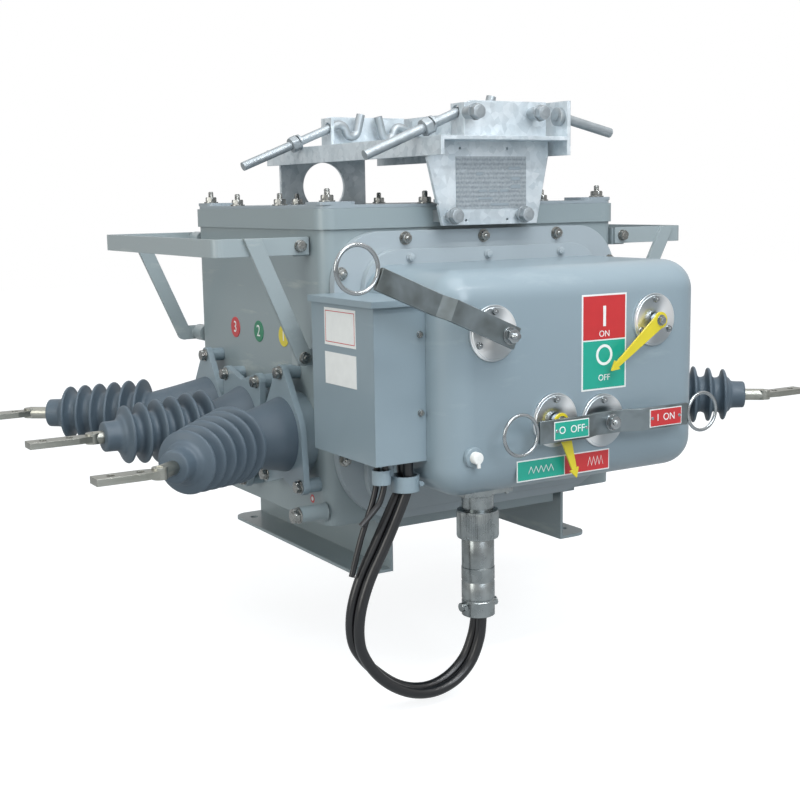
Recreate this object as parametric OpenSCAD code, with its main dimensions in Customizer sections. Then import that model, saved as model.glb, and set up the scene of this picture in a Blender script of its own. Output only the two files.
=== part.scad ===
// Outdoor vacuum circuit breaker: a welded tank hung from a galvanised pole
// hanger, three rubber bushings on each side, and a drive box on the front.
// Millimetres. X runs across the bushings, -Y is the drive box side, +Z is up.
// The origin is the centre of the four foot holes, on the underside of the feet.

/* [Tank] */
// Width of the tank between its two bushing walls
tank_x = 544; // [500:1:600]
// Depth of the tank from its front wall to its rear wall
tank_y = 460; // [430:1:500]
// Height of the tank walls
tank_z = 468; // [440:1:500]
// Radius of the tank's upright corners
tank_r = 20; // [12:1:28]
// Height of the collar round the top of the tank
rim_z = 30; // [20:1:36]
// How far the collar stands out from the walls
rim_out = 4; // [2:0.5:5]
// Depth of the pan under the tank floor
pan_z = 19; // [10:1:30]
// Thickness of the lid plate
lid_t = 5; // [3:0.5:6]
// Thickness of the raised ear at each lid corner
ear_t = 5; // [3:0.5:8]
// Side of a lid corner ear
ear_x = 62; // [50:1:70]

/* [Feet] */
// Height of the feet below the tank floor
foot_z = 85; // [70:1:100]
// Distance from the middle to the outer face of a foot's web
foot_web_x = 168; // [155:1:175]
// Width of a foot's bottom flange
foot_flange = 56; // [50:1:60]
// Thickness of the foot plate
foot_t = 5; // [4:0.5:7]
// Distance between the foot holes across the tank
foot_hole_x = 400; // [392:1:408]
// Distance between the foot holes from front to rear
foot_hole_y = 380; // [360:1:400]
// Radius of a foot hole
foot_hole_r = 7; // [5:0.5:8]

/* [Drive box] */
// Thickness of the plate on the tank's front wall
plate_t = 14; // [10:1:16]
// Thickness of the drive box's own rear flange
lip_t = 12; // [8:1:14]
// Width of the drive box
box_x = 438; // [420:1:450]
// How much further the drive box reaches to the right than its flange
box_over = 25; // [16:1:28]
// Depth of the drive box in front of its flange
box_y = 212; // [200:1:230]
// Height of the drive box
box_z = 312; // [300:1:320]
// Height of the drive box floor above the feet
box_z0 = 158; // [150:1:165]
// Radius of the drive box's rounded edges
box_r = 45; // [35:1:52]

/* [Shafts and levers] */
// Radius of a steel shaft disc
disc_r = 38.5; // [34:0.5:42]
// Thickness of a shaft disc
disc_t = 6; // [4:0.5:8]
// Radius of each shaft
shaft_r = 8; // [6:0.5:10]
// Radial running clearance of each shaft
shaft_gap = 0.05; // [0.02:0.01:0.1]
// Length of the charging lever from its shaft to its ring
charge_len = 208; // [200:1:225]
// Rest angle of the charging lever above level
charge_deg = 23.5; // [18:0.5:30]
// Length of each arm of the hand lever
hand_len = 136; // [132:1:144]
// Radius of the charging lever's ring, to the middle of its rod
ring1_r = 30; // [26:0.5:34]
// Radius of each hand lever ring, to the middle of its rod
ring2_r = 28; // [25:0.5:30]

/* [Handles] */
// Distance from the middle to the outer face of a lifting handle
hx = 424; // [410:1:436]
// Height of the handle bars above the feet
hz = 500; // [490:1:508]
// Width of the handle bar
hb_w = 26; // [20:1:30]
// Thickness of the handle bar
hb_t = 6; // [4:0.5:8]
// Height of the lower ends of the handle struts above the feet
strut_z = 337; // [330:1:345]

/* [Bushings] */
// Height of the bushing axes above the feet
bush_z = 216; // [208:1:226]
// Sideways splay of the shed part of the front and rear bushings
bush_deg = 38; // [34:0.5:40]
// Distance between the flange centres of neighbouring bushings
bush_pitch = 141; // [138:0.5:143]
// Distance the rubber nose reaches out from the tank wall
bush_len = 260; // [256:1:266]
// Distance from the middle bushing's axis to the noses beside it
nose_y = 279; // [274:1:284]
// Spacing of the sheds
shed_pitch = 25.4; // [24.6:0.1:25.8]
// Radius of the shed nearest the nose
shed_r1 = 44.5; // [42:0.5:47]
// Radius of the shed nearest the tank
shed_r6 = 57; // [52:0.5:60]
// Thickness of the bushing's metal flange
flange_t = 10; // [8:1:12]
// Distance from the tank wall to the front of the flange
flange_x = 31; // [28:1:34]
// Width of a terminal bar
term_w = 28; // [25:1:32]
// Thickness of a terminal bar
term_t = 9.5; // [8:0.5:11]
// Radius of a terminal hole
term_hole_r = 5.5; // [4.5:0.5:6]
// Spacing of the two terminal holes
term_pitch = 40; // [36:1:42]

/* [Hanger] */
// Width of the saddle over the tank
saddle_x = 236; // [225:1:245]
// Length of the saddle from front to rear
saddle_y = 570; // [560:1:590]
// Height of the saddle's side webs
saddle_z = 28; // [24:1:32]
// Height of the saddle's top face above the feet
saddle_top = 655; // [645:1:665]
// Radius of the hook bolts' rods
hook_r = 7.5; // [6:0.5:8]
// Thickness of the hanger plates
hang_t = 6; // [4:0.5:8]
// Height of the upright plates on the saddle
upright_z = 53; // [48:1:58]

/* [Node] */
// Sub-part to build, or all

/* [Hidden] */
$fn = 48;
z0 = foot_z;                          // tank floor
z1 = foot_z + tank_z;                 // top of the walls
wx = tank_x / 2;                      // side walls at +-wx
wy = tank_y / 2;                      // front and rear walls at +-wy
yp = -wy - plate_t;                   // front of the tank's front plate
yl = yp - lip_t;                      // front of the drive box flange
yf = yl - box_y;                      // front of the drive box
bx = box_x / 2;
yd = yf - disc_t;                     // front of the shaft discs
shafts = [[-144, 385], [143, 386], [-39, 256], [47, 247]];
hand = shafts[3];
shed_len = 180;                       // straight part of the rubber that carries the sheds
cab_y = -396;                         // upright plane the cable loop hangs in
cab_x = -120;                         // axis of the round connector
cab_r = 7.6;                          // radius of a control cable
lead_r = 4.2;                         // radius of a cut lead
lead_y = lead_r + 0.4;                // how far the cut leads run apart, either side of the loop's plane
// Route of each cable as [x, z], from the terminal box gland to the connector
cab_front = [[-241, 211], [-241, 200], [-241, 178], [-252, 150], [-278, 100], [-306, 50], [-321, 5], [-322, -35], [-309, -66],
  [-287, -93], [-258, -114], [-227, -126], [-195, -128], [-163, -118], [-138, -96], [-124, -66], [-120, -40], [-120, -25], [-120, -10]];
cab_rear = [[-241, 211], [-241, 200], [-241, 178], [-256, 150], [-284, 100], [-312, 50], [-326, 5], [-325, -35], [-309, -64],
  [-284, -90], [-256, -111], [-226, -123], [-195, -125], [-165, -115], [-140, -94], [-126, -66], [-120, -40], [-120, -25], [-120, -10]];
lead_short = [[-275, 211], [-275, 203], [-275, 190], [-284, 160], [-299, 143], [-315, 129]];
lead_long = [[-283, 211], [-283, 203], [-283, 190], [-290, 160], [-310, 110], [-326, 58]];
function near_y(s) = s < 0 ? -wy + 38 : -wy - 2;   // front face of a handle's near arm
far_y = wy + 34;                      // front face of a handle's far arm
hb_x = 17;                            // handle bolts out from the side wall

// ---- shared shapes ----
module rplate(x, y, z, r) {
  linear_extrude(z) union() {
    square([x - 2 * r, y], center = true);
    square([x, y - 2 * r], center = true);
    for (sx = [-1, 1], sy = [-1, 1]) translate([sx * (x / 2 - r), sy * (y / 2 - r)]) circle(r);
  }
}
module to_front(x, z, y) { translate([x, y, z]) rotate([90, 0, 0]) children(); }
module slab(x0, x1, y0, y1, za, zb) { translate([x0, y0, za]) cube([x1 - x0, y1 - y0, zb - za]); }
module hexhead(af, h) { cylinder(r = af / sqrt(3), h = h, $fn = 6); }
module bolt(af, h, wr, wt) { cylinder(r = wr, h = wt); translate([0, 0, wt]) hexhead(af, h); }
// A ring of round rod lying flat in XY
module ring(R, r) { rotate_extrude() translate([R, 0]) circle(r, $fn = 24); }
// Round rod swept along points [x, z] that lie in one plane at a given y
function unit(v) = v / norm(v);
function tang(p, i) = unit(p[min(i + 1, len(p) - 1)] - p[max(i - 1, 0)]);
function cat(a, b, c, d, t) = 0.5 * ((2 * b) + (c - a) * t + (2 * a - 5 * b + 4 * c - d) * t * t
  + (3 * b - a - 3 * c + d) * t * t * t);
function smooth(p, k) = [for (i = [0:len(p) - 2], j = [0:k - 1])
  cat(p[max(i - 1, 0)], p[i], p[i + 1], p[min(i + 2, len(p) - 1)], j / k), p[len(p) - 1]];
module rod(p, y, r, n = 10) {
  m = len(p);
  v = [for (i = [0:m - 1], k = [0:n - 1]) let (t = tang(p, i), a = 360 * k / n)
    [p[i][0] - t[1] * r * cos(a), y + r * sin(a), p[i][1] + t[0] * r * cos(a)]];
  polyhedron(points = v, faces = concat(
    [[for (k = [n - 1:-1:0]) k]],
    [for (i = [0:m - 2], k = [0:n - 1]) let (q = (k + 1) % n) [i * n + k, i * n + q, (i + 1) * n + q, (i + 1) * n + k]],
    [[for (k = [0:n - 1]) (m - 1) * n + k]]));
}

// ---- tank ----
module tank_shell() color([0.52, 0.58, 0.61]) {
  union() {
    translate([0, 0, z0]) rplate(tank_x, tank_y, tank_z, tank_r);
    translate([0, 0, z1 - rim_z]) rplate(tank_x + 2 * rim_out, tank_y + 2 * rim_out, rim_z, tank_r + rim_out);
    slab(-foot_web_x + 16, foot_web_x - 16, -wy + 6, wy - 6, z0 - pan_z, z0 + 1);
  }
}
module tank_lid() color([0.50, 0.56, 0.60]) {
  union() {
    translate([0, 0, z1]) rplate(tank_x, tank_y, lid_t, tank_r);
    for (sx = [-1, 1], sy = [-1, 1])
      translate([sx * (wx - ear_x / 2), sy * (wy - ear_x / 2), z1 + lid_t]) rplate(ear_x, ear_x, ear_t, 16);
  }
}
module stud(z, af = 17) {
  translate([0, 0, z]) {
    cylinder(r = af * 0.72, h = 2);
    translate([0, 0, 2]) hexhead(af, 8);
    cylinder(r = af * 0.27, h = 20);
  }
}
module lid_bolts() color([0.66, 0.66, 0.62]) {
  for (sx = [-1, 1], sy = [-1, 1]) translate([sx * (wx - 20), sy * (wy - 20), 0]) stud(z1 + lid_t + ear_t);
  for (sy = [-1, 1], x = [-85, 85]) translate([x, sy * (wy - 18), 0]) stud(z1 + lid_t);
  for (sx = [-1, 1], y = [-60, 97]) translate([sx * (wx - 18), y, 0]) stud(z1 + lid_t);
}
// ---- feet ----
module foot(s) {
  difference() {
    union() {
      slab(min(s * foot_web_x, s * (foot_web_x - foot_t)), max(s * foot_web_x, s * (foot_web_x - foot_t)), -wy, wy, 0, z0);
      slab(min(s * (foot_web_x - foot_t), s * (foot_web_x + foot_flange - 26)), max(s * (foot_web_x - foot_t), s * (foot_web_x + foot_flange - 26)), -wy, wy, 0, foot_t);
      slab(min(s * (foot_web_x + 10), s * (foot_web_x + foot_flange)), max(s * (foot_web_x + 10), s * (foot_web_x + foot_flange)), -wy + 26, wy - 26, 0, foot_t);
      for (sy = [-1, 1]) translate([s * (foot_web_x + foot_flange - 26), sy * (wy - 26), 0]) cylinder(r = 26, h = foot_t);
      slab(min(s * (foot_web_x - foot_t), s * (foot_web_x + 24)), max(s * (foot_web_x - foot_t), s * (foot_web_x + 24)), -wy, wy, z0 - foot_t, z0);
    }
    for (sy = [-1, 1]) translate([s * foot_hole_x / 2, sy * foot_hole_y / 2, -1]) cylinder(r = foot_hole_r, h = foot_t + 2);
  }
}
module foot_left() color([0.50, 0.56, 0.59]) foot(-1);
module foot_right() color([0.50, 0.56, 0.59]) foot(1);

// ---- front plate and drive box ----
module front_plate() color([0.55, 0.62, 0.67]) {
  // rounded plate: large radius at the lower corners, smaller at the upper ones
  w = wx - 10; ra = 78; rb = 112; za = z0; zb = z1 - 34;
  to_front(0, 0, -wy) linear_extrude(plate_t) union() {
    translate([-w, za + rb]) square([2 * w, zb - ra - za - rb]);
    translate([-w + ra, zb - ra - 1]) square([2 * (w - ra), ra + 1]);
    translate([-w + rb, za]) square([2 * (w - rb), rb + 1]);
    for (s = [-1, 1]) { translate([s * (w - ra), zb - ra]) circle(ra, $fn = 96); translate([s * (w - rb), za + rb]) circle(rb, $fn = 96); }
  }
}
module front_plate_bolts() color([0.62, 0.64, 0.64]) {
  for (x = [-141, 0, 141]) to_front(x, z1 - 45, yp) bolt(17, 7, 11, 2);
  for (s = [-1, 1], z = [187, 460]) to_front(s * (wx - 21), z, yp) bolt(17, 7, 11, 2);
}
module drive_box() color([0.56, 0.63, 0.69]) {
  xa = -bx; xb = bx + box_over; r = box_r; za = box_z0; zb = box_z0 + box_z; y = yf;
  difference() {
    union() {
      slab(xa + r, xb - r, y, yl, za + r, zb - r);
      slab(xa, xb, y + r, yl, za + r, zb - r);
      slab(xa + r, xb - r, y + r, yl, za, zb);
      for (x = [xa + r, xb - r]) {
        for (z = [za + r, zb - r]) {
          to_front(x, z, yl) cylinder(r = r, h = yl - y - r);
          translate([x, y + r, z]) sphere(r);
        }
        translate([x, y + r, za + r]) cylinder(r = r, h = zb - za - 2 * r);
      }
      for (z = [za + r, zb - r]) translate([xa + r, y + r, z]) rotate([0, 90, 0]) cylinder(r = r, h = xb - xa - 2 * r);
    }
    for (s = shafts) to_front(s[0], s[1], y + 24) cylinder(r = shaft_r, h = 40);
  }
}
module drive_box_flange() color([0.55, 0.62, 0.67])
  to_front(0, (100 + z1 - 61) / 2, yp) rplate(box_x, z1 - 61 - 100, lip_t, 58);
module drive_box_bolts() color([0.60, 0.62, 0.63]) {
  for (x = [-140, 0, 140]) to_front(x, z1 - 73, yl) bolt(10, 5, 7, 1.5);
}
module shaft_discs() color([0.74, 0.75, 0.74]) {
  for (s = shafts) to_front(s[0], s[1], yf) difference() {
    union() {
      cylinder(r = disc_r, h = disc_t - 1.5);
      cylinder(r = disc_r - 3, h = disc_t);
      for (a = [90, 210, 330]) rotate([0, 0, a]) translate([disc_r - 9, 0, disc_t]) hexhead(8, 3);
    }
    translate([0, 0, -1]) cylinder(r = shaft_r, h = disc_t + 4);
  }
}
// ---- levers and pointers ----
lev_y = yd - 28;                       // rear face of the charging lever's hub
module charge_lever() color([0.76, 0.77, 0.76]) {
  union() {
    to_front(shafts[0][0], shafts[0][1], yf + 20) cylinder(r = shaft_r - shaft_gap, h = yf + 20 - lev_y + 3);
    to_front(shafts[0][0], shafts[0][1], lev_y + 5) cylinder(r = 12, h = 6);
    to_front(shafts[0][0], shafts[0][1], lev_y - 6) cylinder(r = 12, h = 3);
    to_front(shafts[0][0], shafts[0][1], lev_y - 8.5) hexhead(18, 9);
    to_front(shafts[0][0], shafts[0][1], lev_y - 8) cylinder(r = 5, h = 19);
    translate([shafts[0][0], lev_y, shafts[0][1]]) rotate([0, charge_deg, 0]) translate([0, 0, -15]) linear_extrude(30)
      polygon([[13, 0], [13, -7], [-96, -7], [-112, 6], [-charge_len, 6], [-charge_len, 13], [-115, 13], [-99, 0]]);
  }
}
module charge_ring() color([0.78, 0.79, 0.78]) {
  translate([shafts[0][0], 0, shafts[0][1]]) rotate([0, charge_deg, 0])
    translate([-charge_len - ring1_r - 2.7, lev_y + 9.5, 0]) rotate([90, 0, 0]) ring(ring1_r, 2.7);
}
hl_y = yd - 12;                        // rear face of the hand lever's hub
module hand_lever() color([0.75, 0.76, 0.75]) {
  union() {
    to_front(hand[0], hand[1], yf + 20) cylinder(r = shaft_r - shaft_gap, h = yf + 20 - hl_y + 3);
    to_front(hand[0], hand[1], hl_y - 5) cylinder(r = 12, h = 3);
    to_front(hand[0], hand[1], hl_y - 7.5) hexhead(18, 8);
    to_front(hand[0], hand[1], hl_y - 7) cylinder(r = 5, h = 14);
    translate([hand[0], hl_y, hand[1] - 16]) linear_extrude(32)
      polygon([[-hand_len, -16], [-51, -16], [-28, -6], [20, -6], [45, -16], [hand_len, -16],
        [hand_len, -11], [46, -11], [21, 0], [-29, 0], [-52, -11], [-hand_len, -11]]);
  }
}
module hand_rings() color([0.78, 0.79, 0.78]) {
  for (s = [-1, 1]) translate([hand[0] + s * (hand_len + ring2_r + 2.5), hl_y - 13.5, hand[1]]) rotate([90, 0, 0]) ring(ring2_r, 2.5);
}
module lever_plate(x) {
  translate([hand[0] + x - 30.5, hl_y - 17.5, hand[1] - 13]) cube([61, 1.5, 26]);
  for (d = [-26, 26]) to_front(hand[0] + x + d, hand[1], hl_y - 17.5) cylinder(r = 2.5, h = 1.5);
}
module lever_plate_on() color([0.75, 0.15, 0.17]) union() lever_plate(92);
module lever_plate_off() color([0.10, 0.65, 0.56]) union() lever_plate(-82);
module pointer(s, len, deg) {
  union() {
    to_front(s[0], s[1], yf + 20) cylinder(r = shaft_r - shaft_gap, h = yf + 20 - yd + 5.5);
    translate([s[0], yd - 9, s[1]]) rotate([90, 0, 0]) rotate([0, 0, deg]) linear_extrude(3) union() {
      circle(r = 12);
      polygon([[-1, -11], [len - 14, -4], [len - 14, -8], [len, 0], [len - 14, 8], [len - 14, 4], [-1, 11]]);
    }
    to_front(s[0], s[1], yd - 5) cylinder(r = 11, h = 5);
    to_front(s[0], s[1], yd - 11) hexhead(13, 6);
  }
}
module position_pointer() color([0.84, 0.76, 0.18]) pointer(shafts[1], 114, 215.8);
module energy_pointer() color([0.84, 0.76, 0.18]) pointer(shafts[2], 88, -71.8);
module lock_knob() color([0.92, 0.92, 0.90]) {
  union() {
    to_front(-177, 219, yf) cylinder(r = 14, h = 5);
    to_front(-177, 219, yf - 4) cylinder(r = 8.5, h = 11);
    to_front(-177, 212, yf - 12) translate([-2, -6, 0]) cube([4, 14, 3]);
  }
}
// ---- labels ----
module position_label() color([0.75, 0.15, 0.17]) slab(10, 92, yf - 1.2, yf, 291, 428);
module energy_label() color([0.10, 0.65, 0.56]) slab(-104, 62, yf - 1.2, yf, 174, 204);
module phase_discs() color([0.80, 0.25, 0.2]) {
  for (sx = [-1, 1], k = [-1, 0, 1]) translate([sx * wx, -8 + 89 * k, 362]) rotate([0, sx * 90, 0]) cylinder(r = 17, h = 1.5);
}
// ---- terminal box and cables ----
tb_x0 = -bx - 81; tb_y0 = yl - 162;
module terminal_box() color([0.55, 0.61, 0.66]) {
  union() {
    slab(tb_x0, -bx, tb_y0, yp, 211, 424);
    for (z = [278, 385]) to_front(-bx - 9, z, tb_y0) cylinder(r = 4, h = 2);
  }
}
module terminal_box_lid() color([0.57, 0.63, 0.68]) slab(tb_x0 - 6, -bx, tb_y0 - 6, yp, 424, 433);
module box_labels() color([0.90, 0.90, 0.88]) {
  slab(tb_x0 - 1, tb_x0, -371, -283, 366, 418);
  slab(tb_x0 - 1, tb_x0, -371, -283, 311, 356);
}
module cable_clamps() color([0.62, 0.66, 0.68]) {
  difference() {
    union() {
      translate([-241, cab_y, 168]) cylinder(r = 20, h = 22);
      slab(-241, -bx, cab_y + 10, cab_y + 18, 168, 190);
      translate([-279, cab_y, 182]) cylinder(r = 13, h = 20);
      slab(-279, -255, cab_y + 6, cab_y + 11, 182, 190);
      slab(-262, -256, cab_y + 4, cab_y + 11, 182, 211);
      to_front(-226, 179, cab_y - 14) cylinder(r = 3.5, h = 6);
    }
    translate([-241, cab_y, 160]) cylinder(r = 16.5, h = 40);
    translate([-279, cab_y, 175]) cylinder(r = 10.6, h = 40);
  }
}
module control_cable_front() color([0.08, 0.08, 0.09]) rod(smooth(cab_front, 2), cab_y - cab_r, cab_r, 12);
module control_cable_rear() color([0.08, 0.08, 0.09]) rod(smooth(cab_rear, 2), cab_y + cab_r, cab_r, 12);
module cut_lead_short() color([0.09, 0.09, 0.10]) rod(smooth(lead_short, 2), cab_y - lead_y, lead_r, 8);
module cut_lead_long() color([0.09, 0.09, 0.10]) rod(smooth(lead_long, 2), cab_y + lead_y, lead_r, 8);
module connector() color([0.74, 0.75, 0.74]) {
  translate([cab_x, cab_y, 0]) difference() {
    union() {
      translate([0, 0, box_z0 - 6]) rplate(84, 64, 6, 6);
      for (sx = [-1, 1], sy = [-1, 1]) translate([sx * 34, sy * 24, box_z0 - 10]) cylinder(r = 4, h = 5);
      translate([0, 0, 120]) cylinder(r = 23, h = box_z0 - 125);
      translate([0, 0, 84]) cylinder(r = 30.5, h = 42);
      translate([0, 0, 40]) cylinder(r = 23.5, h = 50);
      translate([0, 0, -31]) cylinder(r = 24, h = 74);
      slab(-31.5, 31.5, -8, 8, -26, -6);
    }
    translate([0, 0, -40]) cylinder(r = 18.5, h = 30);
  }
}
// ---- earthing ----
module earth_terminal() color([0.58, 0.62, 0.64]) translate([-wx, -wy + 13, 107]) rotate([0, -90, 0]) union() {
  cylinder(r = 12, h = 44);
  translate([0, 0, 43.5]) bolt(22, 10, 13, 3);
}
// ---- lifting handles: flat bar, one arm on the side wall and one behind the rear wall ----
module span(s, a, b, y0, y1, za, zb) { slab(min(s * a, s * b), max(s * a, s * b), y0, y1, za, zb); }
function arc(c, r, a0, a1, n) = [for (i = [0:n]) let (a = a0 + (a1 - a0) * i / n) c + r * [cos(a), sin(a)]];
// A strut runs up from its lower bolt and is cut level with the top of the arm
module strut(s, y, reach) {
  b = [wx + hb_x, strut_z];
  u = unit([wx + reach, hz] - b);
  n = 12 * [u[1], -u[0]];
  top = hz + hb_w / 2;
  to_front(0, 0, y + hb_t) linear_extrude(hb_t) union() {
    translate([s * b[0], b[1]]) circle(r = 12.2);
    polygon([for (q = [b + n, b - n, b - n + u * (top - b[1] + n[1]) / u[1], b + n + u * (top - b[1] - n[1]) / u[1]]) [s * q[0], q[1]]]);
  }
}
module handle(s, reach) {
  ye = far_y + hb_t; ro = 15; ri = 15 - hb_t; ya = near_y(s);
  path = concat([[wx + 2, ya]], arc([hx - ro, ya + ro], ro, -90, 0, 6), arc([hx - ro, ye - ro], ro, 0, 90, 6), [[wx - 24, ye]],
    [[wx - 24, far_y]], arc([hx - ro, ye - ro], ri, 90, 0, 6), arc([hx - ro, ya + ro], ri, 0, -90, 6), [[wx + 2, ya + hb_t]]);
  union() {
    translate([0, 0, hz - hb_w / 2]) linear_extrude(hb_w) polygon([for (q = path) [s * q[0], q[1]]]);
    strut(s, ya - hb_t, reach);
    strut(s, far_y - 0.4, reach);
    span(s, wx, wx + 26, ya + hb_t, ya + hb_t + 12, hz - 15, hz + 12);
    span(s, wx, wx + 26, ya, ya + 18, strut_z - 12, strut_z + 12);
    for (z = [hz, strut_z]) translate([s * (wx - 12), wy, z]) rotate([-90, 0, 0]) cylinder(r = 14, h = far_y - wy);
    span(s, wx - 24, wx + 14, far_y, far_y + hb_t, strut_z - 12, strut_z + 12);
  }
}
module handle_left() color([0.55, 0.61, 0.66]) handle(-1, 89);
module handle_right() color([0.55, 0.61, 0.66]) handle(1, 106);
module handle_bolts() color([0.60, 0.60, 0.58]) {
  for (sx = [-1, 1]) {
    to_front(sx * (wx + hb_x), hz, near_y(sx)) bolt(15, 6, 9, 2);
    to_front(sx * (wx + hb_x), strut_z, near_y(sx) - hb_t) bolt(15, 6, 9, 2);
    for (z = [hz, strut_z]) translate([sx * (wx - 12), far_y + hb_t, z]) rotate([-90, 0, 0]) bolt(17, 7, 11, 2);
  }
}
// ---- bushings ----
// s is 1 on the right and -1 on the left; k is -1 front, 0 middle, 1 rear
fx = wx + flange_x;                    // front of the bushing flanges
nx = wx + bush_len;                    // noses of the bushings
tip_x = nx + 116;                      // tips of the terminal bars
function b_dir(s, k) = [s * cos(k * bush_deg), sin(k * bush_deg), 0];
function b_nose(s, k) = [s * nx, k * nose_y, bush_z];
module along(p, s, k) { translate(p) rotate([0, 0, s > 0 ? k * bush_deg : 180 - k * bush_deg]) rotate([0, 90, 0]) children(); }
function shed_rad(i) = shed_r1 + (shed_r6 - shed_r1) * i / 5;
// One shed, i steps back from the nose
function shed_pts(i) = let (z = shed_len - 36 - i * shed_pitch, R = shed_rad(i), c = 29 + i)
  [[c, z - 9], [R - 5, z - 4.5], [R - 1.2, z - 3.5], [R, z - 1.2], [R - 0.8, z + 1.6], [R - 5, z + 3.6], [c - 1, z + 8]];
module rubber(s, k) {
  start = b_nose(s, k) - shed_len * b_dir(s, k);
  union() {
    hull() {
      translate([s > 0 ? fx : -fx - 0.5, k * bush_pitch, bush_z]) rotate([0, 90, 0]) cylinder(r = 57, h = 0.5);
      along(start, s, k) cylinder(r = 36, h = 0.5);
    }
    along(start - 2 * b_dir(s, k), s, k) rotate_extrude($fn = 72) polygon(concat(
      [[0, 0], [34.8, 0], [34.6, 4]],
      [for (i = [5:-1:0]) each [for (q = shed_pts(i)) [q[0], q[1] + 2]]],
      [[24, shed_len - 22], [23, shed_len - 3], [20.5, shed_len + 2], [0, shed_len + 2]]));
  }
}
module bushing_left_front() color([0.35, 0.40, 0.45]) rubber(-1, -1);
module bushing_left_middle() color([0.35, 0.40, 0.45]) rubber_mid(-1);
module bushing_left_rear() color([0.35, 0.40, 0.45]) rubber(-1, 1);
module bushing_right_front() color([0.35, 0.40, 0.45]) rubber(1, -1);
module bushing_right_middle() color([0.35, 0.40, 0.45]) rubber_mid(1);
module bushing_right_rear() color([0.35, 0.40, 0.45]) rubber(1, 1);
module rubber_mid(s) {
  m = nx - fx - shed_len;
  along([s * fx, 0, bush_z], s, 0) rotate_extrude($fn = 72) polygon(concat(
    [[0, 0], [57, 0], [36, m], [34.6, m + 5]],
    [for (i = [5:-1:0]) each [for (q = shed_pts(i)) [q[0], q[1] + m]]],
    [[24, m + shed_len - 24], [23, m + shed_len - 5], [20.5, m + shed_len], [0, m + shed_len]]));
}
// Flange lobes as [y, z] from the flange centre; the middle flange is upside down
function lobes(k) = k == 0 ? [[-58, 71], [58, 71], [0, -94]] : [[0, 94], [-58, -71], [58, -71]];
module flange_one(s, k) {
  back = flange_x - flange_t;
  translate([s * fx, k * bush_pitch, bush_z]) rotate([90, 0, 90]) translate([0, 0, s > 0 ? -flange_t : 0]) union() {
    linear_extrude(flange_t) union() {
      circle(r = 66, $fn = 72);
      for (q = lobes(k)) {
        a = atan2(q[1], q[0]); d = norm(q); f = acos(53 / d);
        translate(q) circle(r = 13);
        rotate([0, 0, a]) polygon([[0, 0], 65.6 * [cos(f), -sin(f)], [d, 0] + 12.7 * [cos(f), -sin(f)],
          [d, 0] + 12.7 * [cos(f), sin(f)], 65.6 * [cos(f), sin(f)]]);
      }
    }
    translate([0, 0, s > 0 ? -back : flange_t - 1]) cylinder(r = 63, h = back + 1, $fn = 72);
    for (q = lobes(k)) translate([q[0], q[1], s > 0 ? -back : flange_t - 1]) cylinder(r = 11, h = back + 1);
  }
}
module bushing_flanges() color([0.54, 0.61, 0.66]) for (s = [-1, 1], k = [-1, 0, 1]) flange_one(s, k);
module bushing_bolts() color([0.62, 0.61, 0.57]) {
  for (s = [-1, 1], k = [-1, 0, 1], q = lobes(k))
    translate([s * fx, k * bush_pitch + q[0], bush_z + q[1]]) rotate([0, s * 90, 0]) bolt(17, 7, 10.5, 2);
}
// Terminal: round rod out of the nose, an elbow, and a flat bar with two holes
function t_ext(k) = k == 0 ? 18 : 34;
module terminal(s, k) {
  n = b_nose(s, k);
  e = n + t_ext(k) * b_dir(s, k);
  len = tip_x - abs(e[0]);
  difference() {
    union() {
      along(n, s, k) cylinder(r = 10, h = t_ext(k));
      translate(e - [0, 0, 8]) cylinder(r = 10.6, h = 16);
      translate(e - [0, 0, term_t / 2]) linear_extrude(term_t)
        polygon([for (q = [[0, -9.6], [24, -term_w / 2], [len, -term_w / 2], [len, term_w / 2], [24, term_w / 2], [0, 9.6]]) [s * q[0], q[1]]]);
    }
    for (d = [23, 23 + term_pitch])
      translate([s * (tip_x - d), e[1], bush_z - 20]) cylinder(r = term_hole_r, h = 40);
  }
}
module terminals_left() color([0.55, 0.55, 0.49]) for (k = [-1, 0, 1]) terminal(-1, k);
module terminals_right() color([0.55, 0.55, 0.49]) for (k = [-1, 0, 1]) terminal(1, k);

// ---- hanger ----
sx2 = saddle_x / 2; sy0 = -308; sy1 = sy0 + saddle_y;
pf = -268; pr = 262 - hang_t;           // front faces of the front and rear hanger plates
module saddle() color([0.78, 0.82, 0.84]) {
  union() {
    slab(-sx2, sx2, sy0, sy1, saddle_top - hang_t, saddle_top);
    for (s = [-1, 1]) slab(min(s * sx2, s * (sx2 - hang_t)), max(s * sx2, s * (sx2 - hang_t)), sy0, sy1, saddle_top - saddle_z, saddle_top);
  }
}
module saddle_upstand() color([0.76, 0.80, 0.82]) difference() {
  slab(sx2 - hang_t, sx2, sy0, sy1, saddle_top, saddle_top + upright_z);
  for (h = [[-290, 28], [130, 24]]) translate([sx2 - 20, h[0], saddle_top + h[1]]) rotate([0, 90, 0]) cylinder(r = hook_r + 3, h = 40);
}
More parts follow.
